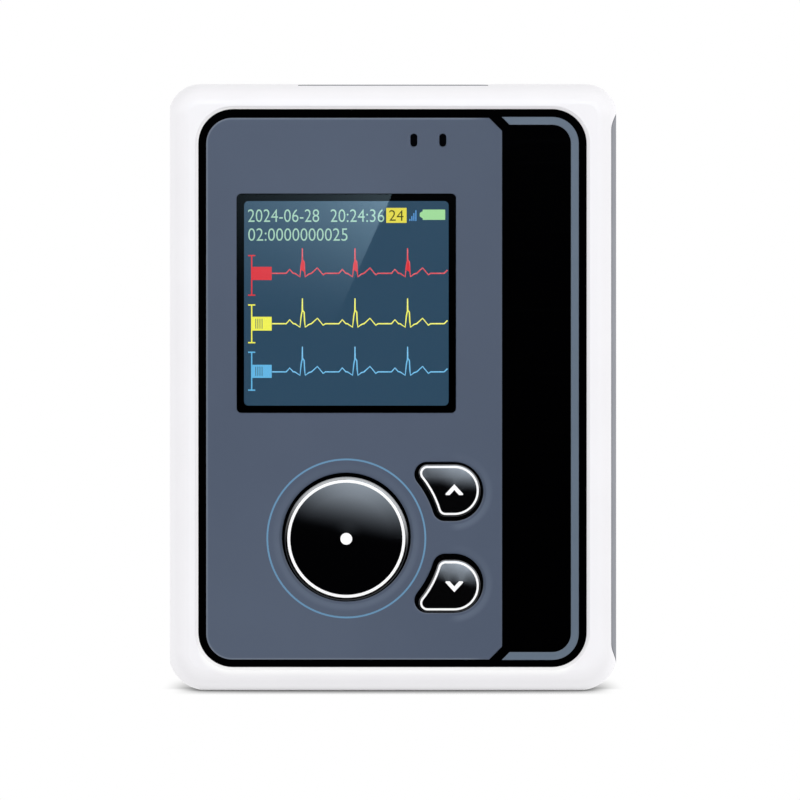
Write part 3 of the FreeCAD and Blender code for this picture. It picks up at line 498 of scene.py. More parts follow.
@dataclass(frozen=True)
class DishedSlate(Moulding):
    """Moulding with painted light and shade: painted shade towards the right, a painted lit patch
    at the lower left, a painted highlight along its outer edge, and painted highlight and shade
    rings in the dishes round the button holes.
    """

    holes: tuple[Corner, ...] = (
        (-6.33, 20.8, 8.73), (8.22, 26.97, 4.02), (8.22, 14.54, 4.02))
    # The colours of the painted highlight in the dishes, of the painted shade, and of the painted
    # light on the rim and at the lower left.
    pale: Colour = srgb(84, 95, 114)
    deep: Colour = srgb(58, 68, 84)
    painted_light: Colour = srgb(104, 114, 130)
    middle: Point = (-5.27, 40.9)
    half: Point = (20.04, 36.69)
    corner: float = 3.5
    dim_across: Point = (-5.0, 14.0)
    dim_up: Point = (20.0, 70.0)
    dim_share: Point = (0.06, 0.12)
    lit_across: Point = (-12.0, 12.0)
    lit_up: Point = (8.0, 35.0)
    lit_share: float = 0.12
    edge_highlight_wide: Point = (0.08, 0.3)
    edge_highlight_end: Point = (10.0, 13.0)
    wide_hole: float = 5.0
    pale_start: Point = (0.25, 0.5)
    pale_end: Point = (0.75, 1.5)
    deep_end: Point = (0.25, 0.45)
    deep_share: float = 0.7

    def tone(self, tree: ShaderTree, plain: bpy.types.NodeSocket) -> bpy.types.NodeSocket:
        """Lays the painted shade and lit patch, the painted highlight along the rim and the painted
        rings of the dishes over the plain tone.

        Args:
            tree: The material's tree.
            plain: The colour without them.

        Returns:
            The colour to use.
        """
        x, _, z = tree.axes()
        least, more = self.dim_share
        # Painted shade towards the right, more of it higher up, and a painted lit patch at the
        # lower left.
        dim = x.smooth(*self.dim_across) * (z.smooth(*self.dim_up) * more + least)
        lit = (1 - z.smooth(*self.lit_up)) * (1 - x.smooth(*self.lit_across)) * self.lit_share
        # A painted highlight along the outer edge, left out at the right.
        away = outside(self.middle[0] - x, (z - self.middle[1]).size(), self.half, self.corner)
        edge = (1 - (0 - away).smooth(*self.edge_highlight_wide)) * (1 - x.smooth(*self.edge_highlight_end))
        result = tree.blend(plain, self.deep, dim)
        result = tree.blend(result, self.painted_light, lit)
        result = tree.blend(result, self.painted_light, edge)
        for middle, height, radius in self.holes:
            across, up = x - middle, z - height
            result = self.dish(tree, result, across, up, radius)
        return result

    def dish(self, tree: ShaderTree, plain: bpy.types.NodeSocket, across: Signal, up: Signal,
             radius: float) -> bpy.types.NodeSocket:
        """Lays a painted highlight ring round a hole, and a painted shade ring at its sides.

        Args:
            tree: The material's tree.
            plain: The colour without them.
            across: The point's distance across from the hole's middle.
            up: Its height above there.
            radius: The hole's radius. Only the right half of a narrow hole has its rings.

        Returns:
            The colour to use.
        """
        reach = across.span(up)
        away = reach - radius
        low = 0.6 - up / reach * 0.4
        keep = 1.0 if radius > self.wide_hole else across.smooth(-1.0, 1.0)
        pale = away.smooth(*self.pale_start) * (1 - away.smooth(*self.pale_end)) * low * keep
        deep = (1 - away.smooth(*self.deep_end)) * (1 - (up / reach).size()) * keep
        paler = tree.blend(plain, self.pale, pale)
        return tree.blend(paler, self.deep, deep * self.deep_share)


@dataclass(frozen=True)
class Lacquer(Finish):
    """Gloss lacquer over a dark or printed face: fine dust under it, faint hairlines in it."""

    colour: Colour
    roughness: float = 0.2
    specular: float = 0.5
    speck: float = 0.02
    orange_peel: float = 0.0003
    coat: float = 0.0
    coat_ior: float = 1.5
    coat_roughness: float = 0.03
    dust: float = 0.12
    hairline: float = 0.5
    peel: float = 1.6

    def sockets(self, tree: ShaderTree) -> dict[str, Any]:
        """What feeds the shader.

        Args:
            tree: The material's tree.

        Returns:
            Values or links by the socket's name.
        """
        dust = tree.noise(self.dust, 1.0).smooth(0.66, 0.8)
        hair = tree.noise(self.hairline, 2.0, (30.0, 1.0, 1.0)).smooth(0.62, 0.7)
        light = tuple(min(1.0, part + self.speck) for part in self.colour[:3]) + (1.0,)
        return {
            "Base Color": self.tone(tree, tree.blend(self.colour, light, dust * 0.4)),
            "Roughness": self.roughness + hair * 0.04 + (tree.noise(4.0) - 0.5) * 0.03,
            "Normal": tree.bump(tree.noise(self.peel, 1.0), self.orange_peel),
            "Specular IOR Level": self.specular,
            "Coat Weight": self.coat,
            "Coat IOR": self.coat_ior,
            "Coat Roughness": self.coat_roughness,
        }


@dataclass(frozen=True)
class CapGloss(Lacquer):
    """Gloss of the centre button, with a painted highlight round the upper part of its outer edge.
    """

    middle: Point = (-6.33, 20.58)
    edge: Point = (8.0, 8.06)
    # The colour of the painted highlight.
    pale: Colour = srgb(205, 208, 212)
    lean: float = 0.25
    most: float = 0.6
    upper: Point = (0.0, 0.75)
    front: Point = (8.2, 8.5)

    def tone(self, tree: ShaderTree, plain: bpy.types.NodeSocket) -> bpy.types.NodeSocket:
        """Lays the painted highlight on the edge over the plain colour.

        Args:
            tree: The material's tree.
            plain: The colour without it.

        Returns:
            The colour to use.
        """
        x, y, z = tree.axes()
        across, up = x - self.middle[0], z - self.middle[1]
        reach = across.span(up)
        # The painted highlight: on the upper part of the outer edge, on the front only.
        turn = ((up + across * self.lean) / reach).smooth(*self.upper)
        keep = reach.smooth(*self.edge) * (0 - y).smooth(*self.front)
        return tree.blend(plain, self.pale, keep * turn * self.most)


@dataclass(frozen=True)
class Metal(Finish):
    """Bare or plated metal with fine drawing lines along one axis."""

    colour: Colour
    roughness: float = 0.28
    stretch: Corner = (1.0, 1.0, 18.0)
    lines: float = 0.08
    line_depth: float = 0.002
    cloud: float = 2.5
    dull: float = 0.72

    def sockets(self, tree: ShaderTree) -> dict[str, Any]:
        """What feeds the shader.

        Args:
            tree: The material's tree.

        Returns:
            Values or links by the socket's name.
        """
        drawn, cloud = tree.noise(self.lines, 2.0, self.stretch), tree.noise(self.cloud, 3.0)
        dull = dimmed(self.colour, self.dull)
        return {
            "Base Color": tree.blend(dull, self.colour, cloud.smooth(0.25, 0.6)),
            "Metallic": 1.0,
            "Roughness": self.roughness + (drawn - 0.5) * 0.16 + (cloud - 0.5) * 0.1,
            "Normal": tree.bump(drawn, self.line_depth),
        }


@dataclass(frozen=True)
class Glow(Finish):
    """A lit part of the display's picture, whose rows show as faint darker lines."""

    colour: Colour
    unlit: Colour = (0.004, 0.004, 0.005, 1.0)
    row: float = 0.1155
    gap: float = 0.04
    dim: float = 0.9

    def sockets(self, tree: ShaderTree) -> dict[str, Any]:
        """What feeds the shader.

        Args:
            tree: The material's tree.

        Returns:
            Values or links by the socket's name.
        """
        _, _, z = tree.axes()
        lit = (z / self.row).fraction().smooth(0.0, 0.25) * self.gap + (1 - self.gap)
        return {
            "Base Color": self.unlit,
            "Roughness": 0.03,
            "Specular IOR Level": 1.0,
            "Emission Color": tree.blend(dimmed(self.colour, self.dim), self.colour, lit),
            "Emission Strength": 1.0,
        }


@dataclass(frozen=True)
class ClearWindow(Finish):
    """Clear moulded acrylic, hard coated, with faint wipe marks in its gloss."""

    colour: Colour
    wiped_colour: Colour = srgb(250, 252, 255)
    wipe: float = 1.2
    index: float = 1.49

    def sockets(self, tree: ShaderTree) -> dict[str, Any]:
        """What feeds the shader.

        Args:
            tree: The material's tree.

        Returns:
            Values or links by the socket's name.
        """
        wiped = tree.noise(self.wipe, 2.0, (1.0, 1.0, 6.0)).smooth(0.55, 0.8)
        return {
            "Base Color": tree.blend(self.colour, self.wiped_colour, wiped * 0.2),
            "Roughness": wiped * 0.004,
            "IOR": self.index,
            "Transmission Weight": 1.0,
        }


@dataclass(frozen=True)
class BoardMask(Finish):
    """Green solder mask over copper tracks, in bundles that turn from cell to cell."""

    base: Colour = srgb(22, 74, 48)
    over_copper: Colour = srgb(38, 104, 66)
    pitch: float = 0.9
    cell: float = 5.4
    half_track: float = 0.2
    bare_share: float = 0.14
    track_depth: float = 0.03

    # The usual factors of a sine hash, which gives each cell a number from 0 to 1.
    HASH = (12.9898, 78.233, 43758.5)

    def sockets(self, tree: ShaderTree) -> dict[str, Any]:
        """What feeds the shader.

        Args:
            tree: The material's tree.

        Returns:
            Values or links by the socket's name.
        """
        x, _, z = tree.axes()
        cell_x, cell_z = (x / self.cell).whole(), (z / self.cell).whole()
        by_x, by_z, spread = self.HASH
        pick = ((cell_x * by_x + cell_z * by_z).sine() * spread).fraction()
        upright = ((x / self.pitch).fraction() - 0.5).size() < self.half_track
        across = ((z / self.pitch).fraction() - 0.5).size() < self.half_track
        turned = pick > 0.5
        track = (upright * turned + across * (1 - turned)) * (pick > self.bare_share)
        return {
            "Base Color": tree.blend(self.base, self.over_copper, track),
            "Roughness": 0.34 + tree.noise(1.5) * 0.12,
            "Normal": tree.bump(track, self.track_depth),
        }


@dataclass(frozen=True)
class CellWrap(Finish):
    """The printed sleeve of a dry cell, in plain bands given by their height and half width."""

    low: float
    wide_band: Point = (33.0, 2.2)
    thin_band: Point = (38.4, 0.5)
    body: Colour = srgb(36, 92, 128)
    band: Colour = srgb(214, 218, 220)
    crease: float = 0.9
    crease_depth: float = 0.02

    def sockets(self, tree: ShaderTree) -> dict[str, Any]:
        """What feeds the shader.

        Args:
            tree: The material's tree.

        Returns:
            Values or links by the socket's name.
        """
        _, _, z = tree.axes()
        up = z - self.low
        wide, thin = ((up - height).size() < half
                      for height, half in (self.wide_band, self.thin_band))
        crease = tree.noise(self.crease, 3.0, (1.0, 1.0, 14.0))
        return {
            "Base Color": tree.blend(self.body, self.band, wide.most(thin)),
            "Metallic": 0.35,
            "Roughness": 0.3 + crease * 0.14,
            "Normal": tree.bump(crease, self.crease_depth),
        }


@dataclass(frozen=True)
class Ribbon(Finish):
    """Amber film with copper conductors showing through it."""

    film: Colour = srgb(176, 104, 30)
    copper: Colour = srgb(206, 138, 62)
    pitch: float = 0.5
    lane_depth: float = 0.02

    def sockets(self, tree: ShaderTree) -> dict[str, Any]:
        """What feeds the shader.

        Args:
            tree: The material's tree.

        Returns:
            Values or links by the socket's name.
        """
        x, _, _ = tree.axes()
        lane = ((x / self.pitch).fraction() - 0.5).size().smooth(0.3, 0.22)
        return {
            "Base Color": tree.blend(self.film, self.copper, lane),
            "Roughness": 0.24 + tree.noise(1.0) * 0.1,
            "Normal": tree.bump(lane, self.lane_depth),
        }


SHELL_WHITE = srgb(243, 242, 245)
FACE_BLACK = srgb(0.6, 0.6, 1)
SLATE = srgb(69, 80, 100)
STRIPE = srgb(91, 105, 121)
PAINT_WHITE = srgb(252, 252, 253)
SCREEN_GROUND = srgb(48, 76, 98)
TRACE_RED = srgb(226, 56, 64)
TRACE_YELLOW = srgb(252, 251, 92)
TRACE_BLUE = srgb(105, 188, 235)
TEXT_MINT = srgb(172, 212, 188)
BATTERY_GREEN = srgb(169, 227, 162)
BOX_YELLOW = srgb(238, 226, 84)
BOX_INK = srgb(70, 74, 30)
TICK_INK = srgb(70, 100, 110)
ICON_BLUE = srgb(96, 158, 220)

SLOT_FINISHES: tuple[Finish, ...] = (
    ShellWhite("white_shell", SHELL_WHITE, 0.36, drift=0.015, depth=0.003, coat=0.25,
               coat_roughness=0.16),
    Lacquer("black_face", FACE_BLACK, 0.1, specular=0.02, speck=0.0002),
    DishedSlate("slate", SLATE, 0.42, grain=0.16, depth=0.002, specular=0.3, coat=0.8,
                coat_roughness=0.2),
    Moulding("slate_light", STRIPE, 0.4, grain=0.16, depth=0.002, specular=0.3, coat=0.8,
             coat_roughness=0.2),
    Moulding("accent_blue", srgb(98, 142, 176), 0.35, specular=0.4),
    Lacquer("smoked_window", srgb(1, 1, 3), 0.1, specular=0.08, speck=0.001),
    ClearWindow("display_lens", srgb(252, 254, 255)),
    Lacquer("display_mask", srgb(3, 3, 5), 0.3, specular=0.1, speck=0.002),
    Moulding("black_rubber", srgb(24, 24, 26), 0.7, grain=0.3, depth=0.01),
    Glow("display_screen", SCREEN_GROUND),
    Metal("display_frame", srgb(176, 178, 182), 0.34),
    Ribbon("flex_amber"),
    Moulding("grey_foam", srgb(92, 94, 98), 0.9, grain=0.5, depth=0.12, drift=0.25),
    Moulding("connector_black", srgb(22, 22, 24), 0.5),
    CapGloss("gloss_black", srgb(2, 2, 3), 0.06, speck=0.003, coat=1.0),
    Moulding("white_mark", PAINT_WHITE, 0.3, drift=0.02, depth=0.001),
    Moulding("switch_black", srgb(28, 28, 30), 0.55),
    Metal("switch_steel", srgb(190, 190, 188), 0.3),
    BoardMask("board_green"),
    Moulding("chip_black", srgb(30, 31, 33), 0.62, grain=0.1, depth=0.01),
    Metal("shield_steel", srgb(198, 198, 196), 0.3, (1.0, 1.0, 10.0)),
    Moulding("ceramic_tan", srgb(166, 132, 96), 0.5, drift=0.2),
    Moulding("led_white", srgb(236, 234, 216), 0.4),
    Moulding("grey_plastic", srgb(120, 124, 130), 0.48, drift=0.06),
    Metal("socket_steel", srgb(196, 198, 200), 0.26),
    Metal("contact_gold", srgb(232, 186, 96), 0.2),
    Moulding("tray_black", srgb(34, 35, 38), 0.52, drift=0.1, depth=0.006),
    CellWrap("cell_can", 17.5),
    Metal("spring_steel", srgb(196, 194, 190), 0.24, (1.0, 1.0, 1.0)),
    Metal("leaf_steel", srgb(200, 198, 190), 0.27, (8.0, 1.0, 1.0)),
    Moulding("door_grey", srgb(138, 140, 147), 0.45, drift=0.05),
    Metal("pin_steel", srgb(190, 190, 190), 0.25),
    Metal("screw_steel", srgb(150, 152, 156), 0.3, (6.0, 1.0, 1.0)),
    Metal("insert_brass", srgb(214, 174, 98), 0.3),
)
KEY_GLOSS = Lacquer("key_gloss", srgb(6, 6, 7), 0.06, specular=1.0, speck=0.003, coat=1.0,
                    coat_ior=1.8)
NODE_FINISHES = {"up_button": KEY_GLOSS, "down_button": KEY_GLOSS}


class FinishShelf:
    """Makes each finish once and hands it out again."""

    def __init__(self, finishes: Sequence[Finish]) -> None:
        """Starts with nothing made.

        Args:
            finishes: The finishes of the record's slots, named as the slots are.
        """
        self._slots = {finish.name: finish for finish in finishes}
        self._made: dict[str, bpy.types.Material] = {}

    def get(self, slot: str) -> bpy.types.Material:
        """The material of one of the record's slots."""
        return self.keep(self._slots[slot])

    def keep(self, finish: Finish) -> bpy.types.Material:
        """The material of any finish.

        Args:
            finish: The finish.

        Returns:
            The material.
        """
        if finish.name not in self._made:
            self._made[finish.name] = finish.make()
        return self._made[finish.name]


SHELF = FinishShelf(SLOT_FINISHES)


# ---- meshes ----

def settle(piece: bpy.types.Object, body: Body) -> bpy.types.Object:
    """Lets a finished piece ride on its body.

    Args:
        piece: The piece.
        body: The body that it moves with.

    Returns:
        The piece.
    """
    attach(piece, body.value)
    LOG.info("%s on %s, %d faces", piece.name, body.value, len(piece.data.polygons))
    return piece


def close_up(mesh: bmesh.types.BMesh) -> None:
    """Merges doubles and turns the faces outwards."""
    bmesh.ops.remove_doubles(mesh, verts=mesh.verts[:], dist=1e-7)
    bmesh.ops.recalc_face_normals(mesh, faces=mesh.faces[:])


def piece_from(name: str, mesh: bmesh.types.BMesh, material: bpy.types.Material
               ) -> bpy.types.Object:
    """Puts a bmesh into the scene.

    Args:
        name: The piece's name.
        mesh: Its mesh in metres, in the recorder's frame. It is freed.
        material: Its finish.

    Returns:
        The object, at the origin.
    """
    close_up(mesh)
    data = bpy.data.meshes.new(name)
    mesh.to_mesh(data)
    mesh.free()
    data.materials.append(material)
    piece = bpy.data.objects.new(name, data)
    bpy.context.scene.collection.objects.link(piece)
    return piece


def add_slab(mesh: bmesh.types.BMesh, outline: Sequence[Point], front: float, back: float) -> None:
    """Adds a closed plate that lies in the plane of the face.

    Args:
        mesh: The mesh to add to.
        outline: Its corners as (x, z), in millimetres.
        front: The depth of its front.
        back: The depth of its back.
    """
    rings = [[mesh.verts.new((x * MM, y * MM, z * MM)) for x, z in outline] for y in (front, back)]
    count = len(outline)
    mesh.faces.new(rings[0])
    mesh.faces.new(rings[1][::-1])
    for i in range(count):
        j = (i + 1) % count
        mesh.faces.new((rings[0][i], rings[0][j], rings[1][j], rings[1][i]))


def rectangle(x0: float, x1: float, z0: float, z1: float, radius: float = 0.0,
              steps: int = 5) -> list[Point]:
    """The corners of a rectangle, rounded if radius is not 0.

    Args:
        x0: Its left.
        x1: Its right.
        z0: Its bottom.
        z1: Its top.
        radius: Its corner radius.
        steps: Points in each rounded corner.

    Returns:
        The corners in order.
    """
    if radius == 0:
        return [(x0, z0), (x1, z0), (x1, z1), (x0, z1)]
    points = []
    centres = [(x1 - radius, z1 - radius, 0), (x0 + radius, z1 - radius, 90),
               (x0 + radius, z0 + radius, 180), (x1 - radius, z0 + radius, 270)]
    for x, z, start in centres:
        for i in range(steps):
            angle = math.radians(start + 90 * i / (steps - 1))
            points.append((x + radius * math.cos(angle), z + radius * math.sin(angle)))
    return points


TEXT_THINNED = -0.006
TEXT_STEPS = 4


def screen_text(words: str, box: Box, name: str) -> bpy.types.Mesh:
    """Sets a line of figures and fits it to a box.

    Args:
        words: The figures.
        box: Left, right, bottom and top in millimetres.
        name: The mesh's name.

    Returns:
        Its mesh in millimetres, 1 thick, upright in the plane of the face.
    """
    curve = bpy.data.curves.new(name, "FONT")
    curve.body = words
    curve.size = 1.0
    curve.offset = TEXT_THINNED
    curve.extrude = 0.5
    curve.resolution_u = TEXT_STEPS
    holder = bpy.data.objects.new(name, curve)
    bpy.context.scene.collection.objects.link(holder)
    bpy.context.view_layer.update()
    depsgraph = bpy.context.evaluated_depsgraph_get()
    mesh = bpy.data.meshes.new_from_object(holder.evaluated_get(depsgraph))
    bpy.data.objects.remove(holder)
    bpy.data.curves.remove(curve)
    xs = [v.co.x for v in mesh.vertices]
    ys = [v.co.y for v in mesh.vertices]
    left, right, bottom, top = box
    wide, high = (right - left) / (max(xs) - min(xs)), (top - bottom) / (max(ys) - min(ys))
    for vertex in mesh.vertices:
        x, y, depth = vertex.co
        vertex.co = (left + (x - min(xs)) * wide, -depth, bottom + (y - min(ys)) * high)
    return mesh


# ---- geometry rules ----

class Rule(Tree):
    """A Geometry Nodes tree that repeats or sweeps, with named inputs."""

    def __init__(self, name: str, inputs: dict[str, tuple[str, Any]]) -> None:
        """Starts the tree.

        Args:
            name: The tree's name.
            inputs: Each input's socket type and usual value, by its name.
        """
        super().__init__(bpy.data.node_groups.new(name, "GeometryNodeTree"))
        interface = self.tree.interface
        interface.new_socket("Geometry", in_out="INPUT", socket_type="NodeSocketGeometry")
        interface.new_socket("Geometry", in_out="OUTPUT", socket_type="NodeSocketGeometry")
        self.keys: dict[str, str] = {}
        for label, (kind, value) in inputs.items():
            socket = interface.new_socket(label, in_out="INPUT", socket_type=kind)
            socket.default_value = value
            self.keys[label] = socket.identifier
        self.start = self.add("NodeGroupInput")

    def value(self, label: str) -> bpy.types.NodeSocket:
        """The socket of a named input."""
        return self.start.outputs[label]

    def vector(self, x: Any = 0.0, y: Any = 0.0, z: Any = 0.0) -> bpy.types.NodeSocket:
        """Joins three numbers into a vector."""
        return self.add("ShaderNodeCombineXYZ", sockets={"X": x, "Y": y, "Z": z}).outputs[0]

    def sweep(self, path: bpy.types.NodeSocket, sides: int, radius: Any) -> bpy.types.NodeSocket:
        """Sweeps a round wire along a path.

        Args:
            path: The path's curve.
            sides: How many sides the wire has.
            radius: The wire's radius.

        Returns:
            The wire, with closed ends.
        """
        ring = self.add("GeometryNodeCurvePrimitiveCircle",
                        sockets={"Resolution": sides, "Radius": radius})
        swept = self.add("GeometryNodeCurveToMesh", sockets={
            "Curve": path, "Profile Curve": ring.outputs[0], "Fill Caps": True})
        return swept.outputs[0]

    def close(self, geometry: bpy.types.NodeSocket, material: bpy.types.Material) -> None:
        """Ends the tree with real geometry in one finish.

        Args:
            geometry: What the rule has made.
            material: Its finish.
        """
        real = self.add("GeometryNodeRealizeInstances", sockets={"Geometry": geometry})
        dressed = self.add("GeometryNodeSetMaterial",
                           sockets={"Geometry": real.outputs[0], "Material": material})
        self.add("NodeGroupOutput", sockets={"Geometry": dressed.outputs[0]})

    def run(self, name: str, seed: bpy.types.Mesh, values: dict[str, Any]) -> bpy.types.Object:
        """Runs the rule on a mesh and leaves a plain mesh.

        Args:
            name: The new piece's name.
            seed: The mesh that goes in.
            values: The inputs' values by name.

        Returns:
            The piece, at the origin.
        """
        piece = bpy.data.objects.new(name, seed)
        bpy.context.scene.collection.objects.link(piece)
        modifier = piece.modifiers.new(self.tree.name, "NODES")
        modifier.node_group = self.tree
        for label, value in values.items():
            modifier[self.keys[label]] = value
        bpy.context.view_layer.update()
        depsgraph = bpy.context.evaluated_depsgraph_get()
        made = bpy.data.meshes.new_from_object(piece.evaluated_get(depsgraph))
        piece.modifiers.remove(modifier)
        piece.data = made
        made.name = name
        work = bmesh.new()
        work.from_mesh(made)
        close_up(work)
        work.to_mesh(made)
        work.free()
        return piece


# ---- display ----

PX = 1 / 7.381          # one drawing dot in millimetres
AXIS_COLUMN = 392.75    # the recorder's middle on the drawing
BASE_ROW = 689.89       # its underside on the drawing


def face_x(column: float) -> float:
    """A drawing column in millimetres from the middle."""
    return (column - AXIS_COLUMN) * PX


def face_z(row: float) -> float:
    """A drawing row in millimetres above the base."""
    return (BASE_ROW - row) * PX


def drawn_box(left: float, right: float, low: float, high: float) -> Box:
    """A box of the drawing, by its columns and rows, as left, right, bottom and top."""
    return face_x(left), face_x(right), face_z(low), face_z(high)


class LeadStyle(Enum):
    """How a lead's box and peaks are drawn."""

    SOLID = "plain box and filled peaks"
    TICKED = "box with ticks and open peaks"


@dataclass
class HeartTrace:
    """One lead's trace on the display, with its calibration bar and box."""

    name: str
    material: bpy.types.Material
    base_row: float
    peak_row: float
    bar_rows: Point
    box_rows: Point
    style: LeadStyle
    glass: float
    lift: float
    beats: int = 3
    period: float = 52.65 * PX
    first_peak: float = 302.5
    lead_column: float = 271.6
    bar_column: float = 251.3
    bar_cap: float = 3.6 * PX
    box_column: float = 271.3
    line: float = 1.3 * PX
    flatness: float = 0.4
    sunk: float = 0.3
    ticks: int = 4
    tick_column: float = 255.0
    tick_pitch: float = 2.1
    tick_line: float = 0.75 * PX
    tick_inset: float = 0.26
    tick_lift: float = 0.01

    # Each as columns from the peak, and as shares of the peak's height.
    BEAT = ((-21.0, 0.0), (-16.6, 0.0), (-13.2, 0.16), (-9.6, 0.0), (-8.0, 0.0), (-2.9, -0.14),
            (-1.75, 0.3), (-1.2, 0.42), (-0.65, 0.5), (-0.6, 1.0), (-0.4, 1.0), (-0.35, 0.55),
            (1.3, 0.46), (1.7, 0.1), (2.4, -0.14), (6.0, -0.03), (8.6, 0.0), (14.5, 0.22),
            (20.3, -0.06), (22.6, 0.0), (31.65, 0.0))
    TAIL = ((31.65, 0.0), (36.05, 0.0), (39.45, 0.13))
    CORE = ((-1.6, 0.14), (1.4, 0.06), (1.3, 0.4), (0.2, 0.5), (-0.3, 0.72), (-0.7, 0.72),
            (-1.3, 0.4))

    def rule(self) -> Rule:
        """Builds the rule that repeats a beat and sweeps a flat bead along it.

        Returns:
            The rule.
        """
        rule = Rule("beats", {"Beats": ("NodeSocketInt", 3), "Period": ("NodeSocketFloat", 0.007),
                              "Width": ("NodeSocketFloat", 0.0002),
                              "Lift": ("NodeSocketFloat", 0.2)})
        beat = rule.add("GeometryNodeInputNamedAttribute", {"data_type": "BOOLEAN"},
                        {"Name": "beat"})
        parts = rule.add("GeometryNodeSeparateGeometry", {"domain": "POINT"},
                         {"Geometry": rule.value("Geometry"), "Selection": beat.outputs[0]})
        step = rule.vector(x=rule.value("Period"))
        places = rule.add("GeometryNodeMeshLine", {"mode": "OFFSET"},
                          {"Count": rule.value("Beats"), "Offset": step})
        beats = rule.add("GeometryNodeInstanceOnPoints",
                         sockets={"Points": places.outputs[0], "Instance": parts.outputs[0]})
        real = rule.add("GeometryNodeRealizeInstances", sockets={"Geometry": beats.outputs[0]})
        joined = rule.add("GeometryNodeJoinGeometry")
        for source in (real.outputs[0], parts.outputs[1]):
            rule.tree.links.new(source, joined.inputs[0])
        welded = rule.add("GeometryNodeMergeByDistance",
                          sockets={"Geometry": joined.outputs[0], "Distance": 1e-6})
        path = rule.add("GeometryNodeMeshToCurve", sockets={"Mesh": welded.outputs[0]})
        half = Signal(rule, rule.value("Width")) * 0.5
        swept = rule.sweep(path.outputs[0], 8, half)
        flat = rule.add("GeometryNodeTransform",
                        sockets={"Geometry": swept,
                                 "Scale": rule.vector(1.0, rule.value("Lift"), 1.0)})
        rule.close(flat.outputs[0], self.material)
        return rule

    def seed(self) -> bpy.types.Mesh:
        """Draws the first beat, the lead-in and the tail as bare edges.

        Returns:
            The mesh, with the first beat's points marked.
        """
        height = (self.base_row - self.peak_row) * PX
        last_peak = self.first_peak + (self.beats - 1) * self.period / PX
        beat = [(face_x(self.first_peak + x), z * height) for x, z in self.BEAT]
        lead = [(face_x(self.lead_column), 0.0), beat[0]]
        tail = [(face_x(last_peak + x), z * height) for x, z in self.TAIL]
        points: list[Corner] = []
        edges: list[tuple[int, int]] = []
        flags: list[bool] = []
        for run, is_beat in ((beat, True), (lead, False), (tail, False)):
            first = len(points)
            points += [(x * MM, 0.0, z * MM) for x, z in run]
            edges += [(first + i, first + i + 1) for i in range(len(run) - 1)]
            flags += [is_beat] * len(run)
        mesh = bpy.data.meshes.new(self.name)
        mesh.from_pydata(points, edges, [])
        mesh.attributes.new("beat", "BOOLEAN", "POINT").data.foreach_set("value", flags)
        return mesh

    def plates(self) -> list[list[Point]]:
        """Outlines the calibration bar, its caps, the filled peaks and the box.

        Returns:
            The outlines, in millimetres.
        """
        x, half = face_x(self.bar_column), self.line / 2
        top, bottom = (face_z(row) for row in self.bar_rows)
        outlines = [rectangle(x - half, x + half, bottom + self.line, top - self.line),
                    rectangle(x - self.bar_cap, x + self.bar_cap, top - self.line, top),
                    rectangle(x - self.bar_cap, x + self.bar_cap, bottom, bottom + self.line)]
        if self.style is LeadStyle.SOLID:
            high = (self.base_row - self.peak_row) * PX
            foot = face_z(self.base_row)
            for i in range(self.beats):
                middle = face_x(self.first_peak) + i * self.period
                outlines.append([(middle + x * PX, foot + z * high) for x, z in self.CORE])
        box_top, box_bottom = (face_z(row) for row in self.box_rows)
        bar_side = face_x(self.bar_column) + half
        outlines.append(rectangle(bar_side, face_x(self.box_column), box_bottom, box_top))
        return outlines

    def build(self) -> bpy.types.Object:
        """Builds the trace with its bar and box as one piece.

        Returns:
            The piece.
        """
        values = {"Beats": self.beats, "Period": self.period * MM, "Width": self.line * MM,
                  "Lift": self.flatness}
        piece = self.rule().run(self.name, self.seed(), values)
        work = bmesh.new()
        work.from_mesh(piece.data)
        depth = self.glass - self.sunk * self.line * self.flatness
        shift = Vector((0, depth * MM, face_z(self.base_row) * MM))
        bmesh.ops.translate(work, verts=work.verts[:], vec=shift)
        for outline in self.plates():
            add_slab(work, outline, self.glass - self.lift, self.glass)
        work.to_mesh(piece.data)
        work.free()
        piece.data.materials.clear()
        piece.data.materials.append(self.material)
        return settle(piece, Body.CASE)

    def tick_marks(self, ink: bpy.types.Material) -> bpy.types.Object:
        """Builds the small upright ticks in the box.

        Args:
            ink: Their finish.

        Returns:
            The piece.
        """
        work = bmesh.new()
        back = self.glass - self.lift
        top, bottom = (face_z(row) for row in self.box_rows)
        for i in range(self.ticks):
            x = face_x(self.tick_column + self.tick_pitch * i)
            outline = rectangle(x, x + self.tick_line, bottom + self.tick_inset,
                                top - self.tick_inset)
            add_slab(work, outline, back - self.tick_lift, back)
        return settle(piece_from(self.name + "_ticks", work, ink), Body.CASE)


